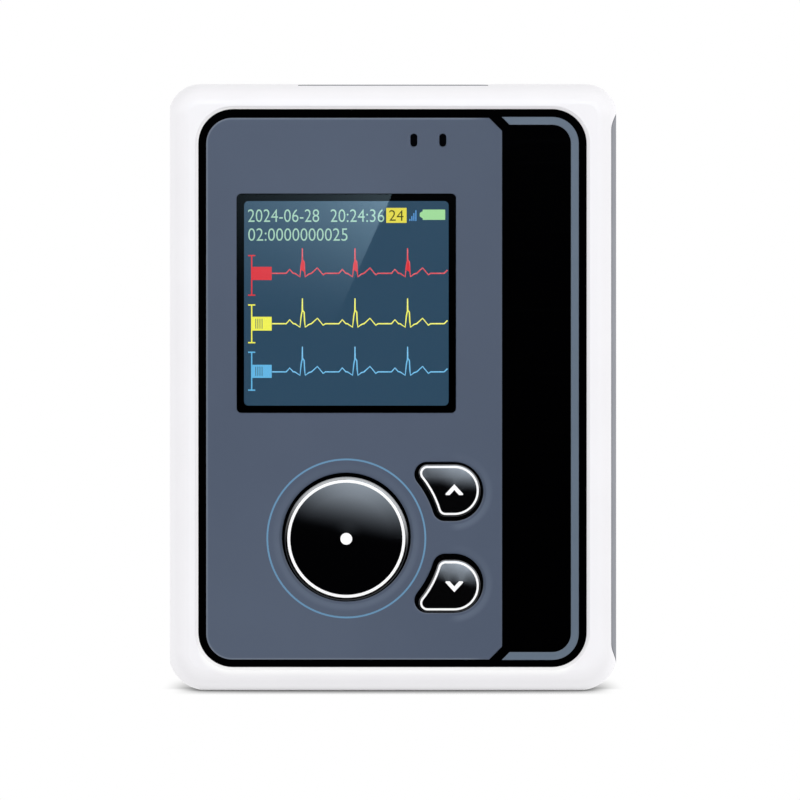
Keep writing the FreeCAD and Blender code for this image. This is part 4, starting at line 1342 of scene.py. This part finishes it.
@dataclass
class Display:
    """The lit picture between the display's glass and its lens."""

    glass: float = -7.05
    lift: float = 0.05
    ink_lift: float = 0.02
    bars: int = 4
    bar_column: float = 409.0
    bar_pitch: float = 2.0
    bar_width: float = 1.2
    bar_rows: Point = (220.0, 218.1)
    bar_growth: float = 2.9
    gauge_corner: float = 0.06

    # Name, finish, base row, peak row, the bar's rows, the box's rows and the style.
    LEADS = (
        ("trace_first", Glow("trace_red", TRACE_RED), 272.5, 247.8, (254.1, 295.0),
         (266.0, 279.2), LeadStyle.SOLID),
        ("trace_second", Glow("trace_yellow", TRACE_YELLOW), 322.9, 298.0, (303.5, 342.5),
         (316.0, 329.8), LeadStyle.TICKED),
        ("trace_third", Glow("trace_blue", TRACE_BLUE), 371.1, 346.3, (350.8, 390.0),
         (364.0, 377.1), LeadStyle.TICKED),
    )
    # Name, figures, and the columns and rows of their box.
    LINES = (
        ("clock_date", "2024-06-28", (247.6, 318.8, 221.2, 208.4)),
        ("clock_time", "20:24:36", (330.2, 383.9, 221.2, 208.4)),
        ("counter", "02:0000000025", (247.8, 347.2, 240.0, 227.4)),
    )
    LEAD_NUMBER = ("lead_number", "24", (388.9, 403.2, 219.9, 209.2))
    LEAD_BOX = (385.9, 406.3, 222.0, 207.0)
    GAUGE = (422.4, 444.9, 219.0, 208.7)
    GAUGE_NUB = ((419.5, 215.6), (422.4, 217.5), (422.4, 210.3), (419.5, 212.1))

    def traces(self) -> None:
        """Draws the three leads."""
        ink = SHELF.keep(Glow("tick_ink", TICK_INK))
        for name, glow, *rows, style in self.LEADS:
            trace = HeartTrace(name, SHELF.keep(glow), *rows, style, self.glass, self.lift)
            trace.build()
            if style is LeadStyle.TICKED:
                trace.tick_marks(ink)

    def figures(self, line: tuple[str, str, Box], front: float, back: float,
                glow: Glow) -> bpy.types.Object:
        """Places a line of figures.

        Args:
            line: The piece's name, the figures, and the columns and rows of their box.
            front: The depth of its front.
            back: The depth of its back.
            glow: Its finish.

        Returns:
            The piece.
        """
        name, words, place = line
        mesh = screen_text(words, drawn_box(*place), name)
        for vertex in mesh.vertices:
            depth = front + (vertex.co.y + 0.5) * (back - front)
            vertex.co = Vector((vertex.co.x, depth, vertex.co.z)) * MM
        work = bmesh.new()
        work.from_mesh(mesh)
        return settle(piece_from(name, work, SHELF.keep(glow)), Body.CASE)

    def sign(self, name: str, outlines: Sequence[Sequence[Point]], glow: Glow) -> bpy.types.Object:
        """Draws a sign of one or more plates on the glass.

        Args:
            name: The piece's name.
            outlines: Its plates' outlines, in millimetres.
            glow: Its finish.

        Returns:
            The piece.
        """
        work = bmesh.new()
        for outline in outlines:
            add_slab(work, outline, self.glass - self.lift, self.glass)
        return settle(piece_from(name, work, SHELF.keep(glow)), Body.CASE)

    def bar(self, number: int) -> list[Point]:
        """Outlines one strength bar.

        Args:
            number: Its number from the left, from 0. Each is taller than the one before.

        Returns:
            The outline.
        """
        left, (foot, top) = self.bar_column + self.bar_pitch * number, self.bar_rows
        box = drawn_box(left, left + self.bar_width, foot, top - self.bar_growth * number)
        return rectangle(*box)

    def build(self) -> None:
        """Builds the whole picture."""
        self.traces()
        front = self.glass - self.lift
        for line in self.LINES:
            self.figures(line, front, self.glass, Glow("figures_mint", TEXT_MINT))
        box = rectangle(*drawn_box(*self.LEAD_BOX))
        self.sign("lead_box", [box], Glow("box_yellow", BOX_YELLOW))
        self.figures(self.LEAD_NUMBER, front - self.ink_lift, front, Glow("box_ink", BOX_INK))
        bars = [self.bar(number) for number in range(self.bars)]
        self.sign("strength_bars", bars, Glow("bars_blue", ICON_BLUE))
        gauge = rectangle(*drawn_box(*self.GAUGE), self.gauge_corner)
        nub = [(face_x(column), face_z(row)) for column, row in self.GAUGE_NUB]
        self.sign("battery_gauge", [gauge, nub], Glow("gauge_green", BATTERY_GREEN))


# ---- small parts inside ----

@dataclass(frozen=True)
class Chip:
    """A packaged chip that stands on the back of a board, with its legs' layout."""

    x: float
    z: float
    wide: float
    high: float
    board: float
    legs: int
    pitch: float
    all_round: bool = True
    reach: float = 0.28
    foot: float = 0.09

    def feet(self) -> list[tuple[Corner, float]]:
        """Places the legs.

        Returns:
            The middle of each leg in millimetres, with its turn about the depth axis.
        """
        places: list[tuple[Corner, float]] = []
        y = self.board + self.foot
        for i in range(self.legs):
            along = (i - (self.legs - 1) / 2) * self.pitch
            for side in (-1, 1):
                out = self.x + side * (self.wide / 2 + self.reach)
                places.append(((out, y, self.z + along), math.pi / 2))
                if self.all_round:
                    up = self.z + side * (self.high / 2 + self.reach)
                    places.append(((self.x + along, y, up), 0.0))
        return places


@dataclass(frozen=True)
class Winding:
    """A wire that goes round an axis, in millimetres, with the axis tipped by lie in radians."""

    radii: Point
    height: float
    wire: float
    turns: float = 1.0
    lie: float = 0.0


@dataclass
class SmallParts:
    """Legs, pads, vents, threads, cell beads and the battery's coil, each from a repeating rule."""

    main_board: float = -1.6
    lead_board: float = 4.95
    screws: tuple[Point, ...] = ((-24.5, 6.5), (24.5, 6.5), (-24.5, 75.5), (24.5, 75.5))
    screw_point: float = 3.4
    cell_x: float = 22.95
    cell_ends: Point = (18.3, 61.2)
    spring_foot: float = 14.7
    leg_size: Corner = (0.22 * MM, 0.18 * MM, 0.56 * MM)
    pad_lift: float = 0.02
    pad_size: Point = (0.42, 0.06)
    vent_size: Point = (0.4, 0.03)
    vent_start: Point = (-18.5, 9.3)
    vent_pitch: float = 1.8
    vent_columns: int = 6
    vent_rows: int = 4
    disc_sides: int = 20
    turn_steps: int = 28
    wire_sides: int = 10
    thread: Winding = Winding((0.97, 0.97), 7.0, 0.09, 15.0, math.pi / 2)
    coil: Winding = Winding((3.2, 2.0), 2.5, 0.29, 3.0)
    bead: Winding = Winding((5.24, 5.24), 0.0, 0.1)

    def seed(self, name: str, places: Sequence[Corner],
             turns: Sequence[float] = ()) -> bpy.types.Mesh:
        """Sets bare points, for a rule to put its shape on.

        Args:
            name: The mesh's name.
            places: The points in millimetres.
            turns: Each point's turn about the depth axis, if any turn.

        Returns:
            The mesh.
        """
        mesh = bpy.data.meshes.new(name)
        mesh.from_pydata([tuple(part * MM for part in place) for place in places], [], [])
        angles = mesh.attributes.new("turn", "FLOAT_VECTOR", "POINT")
        for i, angle in enumerate(turns):
            angles.data[i].vector = (0.0, angle, 0.0)
        return mesh

    def stamp(self, rule: Rule, shape: bpy.types.NodeSocket, slot: str) -> Rule:
        """Ends a rule that sets one shape on each point.

        Args:
            rule: The rule under construction.
            shape: The shape's socket.
            slot: The slot whose finish it takes.

        Returns:
            The rule.
        """
        turn = rule.add("GeometryNodeInputNamedAttribute", {"data_type": "FLOAT_VECTOR"},
                        {"Name": "turn"})
        set_down = rule.add("GeometryNodeInstanceOnPoints",
                            sockets={"Points": rule.value("Geometry"), "Instance": shape,
                                     "Rotation": turn.outputs[0]})
        rule.close(set_down.outputs[0], SHELF.get(slot))
        return rule

    def bars(self, slot: str) -> Rule:
        """Makes a rule that sets a small bar on each point.

        Args:
            slot: The slot whose finish it takes.

        Returns:
            The rule.
        """
        rule = Rule("bars", {"Size": ("NodeSocketVector", (0.001, 0.001, 0.001))})
        bar = rule.add("GeometryNodeMeshCube", sockets={"Size": rule.value("Size")})
        return self.stamp(rule, bar.outputs[0], slot)

    def discs(self, slot: str) -> Rule:
        """Makes a rule that sets a small disc, facing along the depth, on each point.

        Args:
            slot: The slot whose finish it takes.

        Returns:
            The rule.
        """
        rule = Rule("discs", {"Radius": ("NodeSocketFloat", 0.001),
                              "Depth": ("NodeSocketFloat", 0.001)})
        disc = rule.add("GeometryNodeMeshCylinder",
                        sockets={"Vertices": self.disc_sides, "Radius": rule.value("Radius"),
                                 "Depth": rule.value("Depth")})
        facing = rule.add("GeometryNodeTransform",
                          sockets={"Geometry": disc.outputs[0],
                                   "Rotation": (math.pi / 2, 0.0, 0.0)})
        return self.stamp(rule, facing.outputs[0], slot)

    def coils(self, slot: str, lie: float) -> Rule:
        """Makes a rule that winds a wire from each point.

        Args:
            slot: The slot whose finish it takes.
            lie: How far the winding's axis is tipped from upright, in radians.

        Returns:
            The rule.
        """
        rule = Rule("coils", {"Turns": ("NodeSocketFloat", 3.0),
                              "Start": ("NodeSocketFloat", 0.001),
                              "End": ("NodeSocketFloat", 0.001),
                              "Height": ("NodeSocketFloat", 0.001),
                              "Wire": ("NodeSocketFloat", 0.0001)})
        path = rule.add("GeometryNodeCurveSpiral",
                        sockets={"Resolution": self.turn_steps, "Rotations": rule.value("Turns"),
                                 "Start Radius": rule.value("Start"),
                                 "End Radius": rule.value("End"), "Height": rule.value("Height")})
        wound = rule.sweep(path.outputs[0], self.wire_sides, rule.value("Wire"))
        laid = rule.add("GeometryNodeTransform",
                        sockets={"Geometry": wound, "Rotation": (lie, 0.0, 0.0)})
        return self.stamp(rule, laid.outputs[0], slot)

    def legs(self) -> None:
        """Builds the legs of the chips on both boards."""
        chips = [Chip(-6.0, 45.0, 7.0, 7.0, self.main_board, 12, 0.5),
                 Chip(-6.0, 58.0, 8.0, 6.0, self.main_board, 8, 0.65, all_round=False)]
        chips += [Chip(x, 59.5, 5.0, 5.0, self.lead_board, 8, 0.5) for x in (-13.0, -3.5, 6.0)]
        feet = [foot for chip in chips for foot in chip.feet()]
        seed = self.seed("chip_legs", [place for place, _ in feet], [turn for _, turn in feet])
        piece = self.bars("switch_steel").run("chip_legs", seed, {"Size": self.leg_size})
        settle(piece, Body.CASE)

    def pads(self) -> None:
        """Builds the gilded test pads on both boards, and the vents in the radio's can."""
        pads = []
        for left, pitch, count, board, height in ((-24.0, 2.0, 10, self.main_board, 66.8),
                                                  (-18.0, 2.2, 12, self.lead_board, 44.6)):
            pads += [(left + pitch * i, board + self.pad_lift, height) for i in range(count)]
        left, low = self.vent_start
        vents = [(left + self.vent_pitch * i, 0.0, low + self.vent_pitch * j)
                 for i in range(self.vent_columns) for j in range(self.vent_rows)]
        for name, slot, points, (radius, depth) in (
                ("test_pads", "contact_gold", pads, self.pad_size),
                ("shield_vents", "chip_black", vents, self.vent_size)):
            values = {"Radius": radius * MM, "Depth": depth * MM}
            settle(self.discs(slot).run(name, self.seed(name, points), values), Body.CASE)

    def wound(self, name: str, slot: str, places: Sequence[Corner], winding: Winding
              ) -> bpy.types.Object:
        """Winds one piece of wire from each point.

        Args:
            name: The piece's name.
            slot: The slot whose finish it takes.
            places: The points in millimetres.
            winding: How it goes round.

        Returns:
            The piece, which rides on nothing yet.
        """
        start, end = winding.radii
        values = {"Turns": winding.turns, "Start": start * MM, "End": end * MM,
                  "Height": winding.height * MM, "Wire": winding.wire * MM}
        return self.coils(slot, winding.lie).run(name, self.seed(name, places), values)

    def threads(self) -> None:
        """Builds the threads of the case screws."""
        places = [(x, self.screw_point, z) for x, z in self.screws]
        piece = self.wound("screw_threads", "screw_steel", places, self.thread)
        settle(piece, Body.CASE)

    def spring(self) -> None:
        """Builds the battery's coil in round wire, in place of the faceted one."""
        place = (self.cell_x, 0.0, self.spring_foot)
        piece = self.wound("coil_round", "spring_steel", [place], self.coil)
        for face in piece.data.polygons:
            face.use_smooth = True
        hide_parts("battery_spring")
        settle(piece, Body.CASE)

    def beads(self) -> None:
        """Builds the rolled beads at the cell's ends."""
        places = [(self.cell_x, 0.0, z) for z in self.cell_ends]
        piece = self.wound("cell_beads", "cell_can", places, self.bead)
        settle(piece, Body.CASE)

    def build(self) -> None:
        """Builds all of them."""
        self.legs()
        self.pads()
        self.threads()
        self.spring()
        self.beads()


# ---- dressing of the CAD nodes ----

def dress_nodes() -> None:
    """Gives every CAD node the finish of its slot in the record, or a version of its own."""
    record = frame["record"]
    rider = {node: Body(name) for name, nodes in record["behaviour"]["bodies"].items()
             for node in nodes}
    for part in record["subparts"]:
        node, slot = part["node"], part["material_slot"]
        own = NODE_FINISHES.get(node)
        piece = frame["nodes"][node]
        piece.data.materials.clear()
        piece.data.materials.append(SHELF.keep(own) if own else SHELF.get(slot))
        LOG.info("%s on %s, dressed as %s", node, rider[node].value, slot)


# ---- studio ----

WHITE: Colour = (1.0, 1.0, 1.0, 1.0)


@dataclass
class Studio:
    """The floor, the lamps, the cards that the gloss shows, and the camera."""

    distance: float = 1.5
    width_mm: float = 800 * PX
    centre: Point = (face_x(399.7), face_z(399.25))
    face: float = -8.35
    sensor: float = 36.0

    # The surround: its plain level, and the soft box and the glow round it that gloss shows.
    ambient: float = 0.94
    dimmer_above: float = 0.24
    box_lean: float = 0.2
    box_gain: float = 12.3
    box_start: float = 0.04
    box_most: float = 4.5
    box_edge: Point = (0.22, 0.5)
    box_tint: Colour = (0.863, 0.99, 1.147, 1.0)
    front_fade: Point = (0.0, 0.35)
    glow_rise: Point = (-0.05, 0.25)
    glow_level: float = 1.4
    side_level: float = 1.1
    side_slope: float = 0.3

    # The floor's painted shadow and painted bounce light, in millimetres, apart from the shadow's
    # reach in metres.
    floor_radius: float = 6.0
    shadow_reach: float = 0.022
    shadow_power: float = 2.4
    shadow_end: Point = (25.0, 30.2)
    painted_shadow_end: Point = (28.0, 31.8)
    painted_shadow_start: Point = (-6.0, 6.0)
    painted_shadow_fade: Point = (15.0, 65.0)
    painted_shadow_level: float = 0.36
    foot_half: Point = (25.0, 5.9)
    foot_fade: float = 1.7
    foot_level: float = 0.04
    bounce_level: float = 0.82

    # The lamps' sides, their aim, and each one's name, place and watts, in metres.
    lamp_size: float = 0.6
    lamp_aim: Corner = (0.0, 0.0, 0.04)
    LAMPS = (("lamp_right", (0.95, -0.6, 0.25), 3.3), ("lamp_left", (-1.0, -0.8, 0.12), 4.2))

    # The card whose image lies across the lens: its slanting edge and lower right on the drawing.
    card_gap: float = 0.1
    card_edge: Point = (388.3, 201.0)
    card_lean: float = 0.447
    card_rows: Point = (190.0, 335.0)
    card_left: float = 233.0
    card_tint: Colour = (0.68, 1.0, 1.22, 1.0)
    card_top: float = 200.0
    card_fade: Point = (14.2, 18.3)
    card_level: float = 1.25

    def build(self) -> None:
        """Builds everything around the recorder."""
        self.camera()
        self.world()
        self.floor()
        self.lamps()
        self.glare_card()
        bpy.context.scene.view_settings.view_transform = "Standard"

    def camera(self) -> None:
        """Stands the camera straight before the face."""
        data = bpy.data.cameras.new("camera")
        data.sensor_width = self.sensor
        data.lens = self.sensor * self.distance / (self.width_mm * MM)
        data.clip_end = 20.0
        camera = bpy.data.objects.new("camera", data)
        x, z = self.centre
        camera.location = (x * MM, self.face * MM - self.distance, z * MM)
        camera.rotation_euler = (math.radians(90), 0, 0)
        bpy.context.scene.collection.objects.link(camera)
        bpy.context.scene.camera = camera

    def world(self) -> None:
        """Makes a white surround, with a graded soft box before the face for its gloss."""
        world = bpy.data.worlds.new("surround")
        bpy.context.scene.world = world
        world.use_nodes = True
        tree = ShaderTree(world.node_tree)
        way = tree.add("ShaderNodeTexCoord").outputs["Generated"]
        split = tree.add("ShaderNodeSeparateXYZ", sockets={"Vector": way})
        x, y, z = (tree.number(socket) for socket in split.outputs)
        depth = (0 - y).most(0.001)
        side, rise = x / depth, z / depth
        slope = (rise + side * self.box_lean) * self.box_gain - self.box_start
        box = (slope.most(0.0) ** 2).least(self.box_most)
        near = 1 - side.span(rise).smooth(*self.box_edge)
        glow = z.smooth(*self.glow_rise) * self.glow_level
        before = (0 - y).smooth(*self.front_fade)
        beside = x * self.side_slope + self.side_level
        shown = before * (near * box + (1 - near) * glow) + (1 - before) * beside
        path = tree.add("ShaderNodeLightPath")
        gloss = tree.number(path.outputs["Is Glossy Ray"])
        gloss = gloss.most(path.outputs["Is Transmission Ray"])
        level = self.ambient - z.most(0.0) * self.dimmer_above
        plain = tree.number(path.outputs["Is Camera Ray"]) * (1 - level) + level
        back = tree.add("ShaderNodeBackground", sockets={
            "Color": tree.blend(WHITE, self.box_tint, near * before * gloss),
            "Strength": plain * (1 - gloss) + shown * gloss})
        tree.end(back.outputs[0], "ShaderNodeOutputWorld")

    def floor(self) -> None:
        """Lays a white floor with a painted soft shadow of the recorder, plain white away from it.
        """
        material, tree = new_material("floor_white")
        hidden = tree.add("ShaderNodeAmbientOcclusion", {"samples": 16},
                          {"Distance": self.shadow_reach})
        x, y, _ = tree.axes()
        wide, deep = x.size(), y.size()
        # Painted shadow near the recorder from ambient occlusion, left out beyond its sides.
        open_air = tree.number(hidden.outputs["AO"]) ** self.shadow_power
        shade = (1 - open_air) * (1 - wide.smooth(*self.shadow_end))
        # A further painted shadow: a fixed band on the floor behind the recorder.
        painted_shadow = (1 - wide.smooth(*self.painted_shadow_end)) * y.smooth(*self.painted_shadow_start)
        painted_shadow = painted_shadow * (1 - y.smooth(*self.painted_shadow_fade)) * self.painted_shadow_level
        # For other rays the floor glows as painted bounce light, dimmed under the recorder's foot
        # as painted shade.
        half_wide, half_deep = self.foot_half
        clear = (deep - half_deep).most(wide - half_wide).smooth(0.0, self.foot_fade)
        clear = clear * self.bounce_level + self.foot_level
        bounce = tree.add("ShaderNodeEmission",
                          sockets={"Color": WHITE, "Strength": clear * self.ambient})
        plain = tree.add("ShaderNodeEmission",
                         sockets={"Color": WHITE, "Strength": (1 - shade) * (1 - painted_shadow)})
        path = tree.add("ShaderNodeLightPath")
        mixed = tree.add("ShaderNodeMixShader", sockets={"Fac": path.outputs["Is Camera Ray"]})
        tree.join(mixed, (bounce, plain), 1)
        tree.end(mixed.outputs[0])
        mesh = bmesh.new()
        bmesh.ops.create_circle(mesh, cap_ends=True, segments=64, radius=self.floor_radius)
        floor = piece_from("floor", mesh, material)
        if floor.data.polygons[0].normal.z < 0:
            floor.data.flip_normals()
        floor.visible_glossy = False

    def lamps(self) -> None:
        """Hangs a soft box at each side, whose own shape no gloss shows."""
        for name, place, watts in self.LAMPS:
            data = bpy.data.lights.new(name, "AREA")
            data.shape, data.size, data.energy = "SQUARE", self.lamp_size, watts
            lamp = bpy.data.objects.new(name, data)
            lamp.location = place
            way = Vector(self.lamp_aim) - Vector(place)
            lamp.rotation_euler = way.to_track_quat("-Z", "Y").to_euler()
            lamp.visible_camera = lamp.visible_transmission = lamp.visible_glossy = False
            bpy.context.scene.collection.objects.link(lamp)

    def card(self, name: str, corners: Sequence[Corner], material: bpy.types.Material) -> None:
        """Stands a flat card that only gloss shows.

        Args:
            name: Its name.
            corners: Its corners in metres.
            material: Its finish.
        """
        data = bpy.data.meshes.new(name)
        data.from_pydata(corners, [], [list(range(len(corners)))])
        data.materials.append(material)
        card = bpy.data.objects.new(name, data)
        bpy.context.scene.collection.objects.link(card)
        card.visible_camera = card.visible_diffuse = card.visible_shadow = False
        card.visible_volume_scatter = False

    def through(self, x: float, z: float) -> Corner:
        """Where the mirror image of a point on the lens falls on the card.

        Args:
            x: The point's place across, in millimetres.
            z: The point's height in millimetres.

        Returns:
            The point on the card, in metres.
        """
        grow = 1 + self.card_gap / self.distance
        across = self.centre[0] + (x - self.centre[0]) * grow
        height = self.centre[1] + (z - self.centre[1]) * grow
        return across * MM, self.face * MM - self.card_gap, height * MM

    def glare_card(self) -> None:
        """Stands a pale card with a slanting edge, whose image lies across the lens."""
        grow = 1 + self.card_gap / self.distance
        column, row = self.card_edge
        material, tree = new_material("glare_pale")
        x, _, z = tree.axes()
        across = (x - self.centre[0]) / grow + self.centre[0]
        height = (z - self.centre[1]) / grow + self.centre[1]
        inward = (height - face_z(row)) * self.card_lean + face_x(column) - across
        aside, below = self.card_fade
        down = 1 - (face_z(self.card_top) - height) / below
        level = (inward / -aside).exponential() * (down.most(0.0) ** 2) * self.card_level
        glow = tree.add("ShaderNodeEmission", sockets={"Color": self.card_tint, "Strength": level})
        both = tree.add("ShaderNodeAddShader")
        tree.join(both, (glow, tree.add("ShaderNodeBsdfTransparent")), 0)
        tree.end(both.outputs[0])
        high, low = self.card_rows
        outline = [(column + self.card_lean * (row - end), end) for end in (high, low)]
        outline += [(self.card_left, low), (self.card_left, high)]
        corners = [self.through(face_x(across), face_z(down)) for across, down in outline]
        self.card("glare_card", corners, material)


def main() -> None:
    """Dresses the recorder and sets up the studio."""
    logging.basicConfig(level=logging.INFO, format="%(name)s: %(message)s")
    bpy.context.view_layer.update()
    dress_nodes()
    Display().build()
    SmallParts().build()
    Studio().build()


if __name__ == "__main__":
    main()
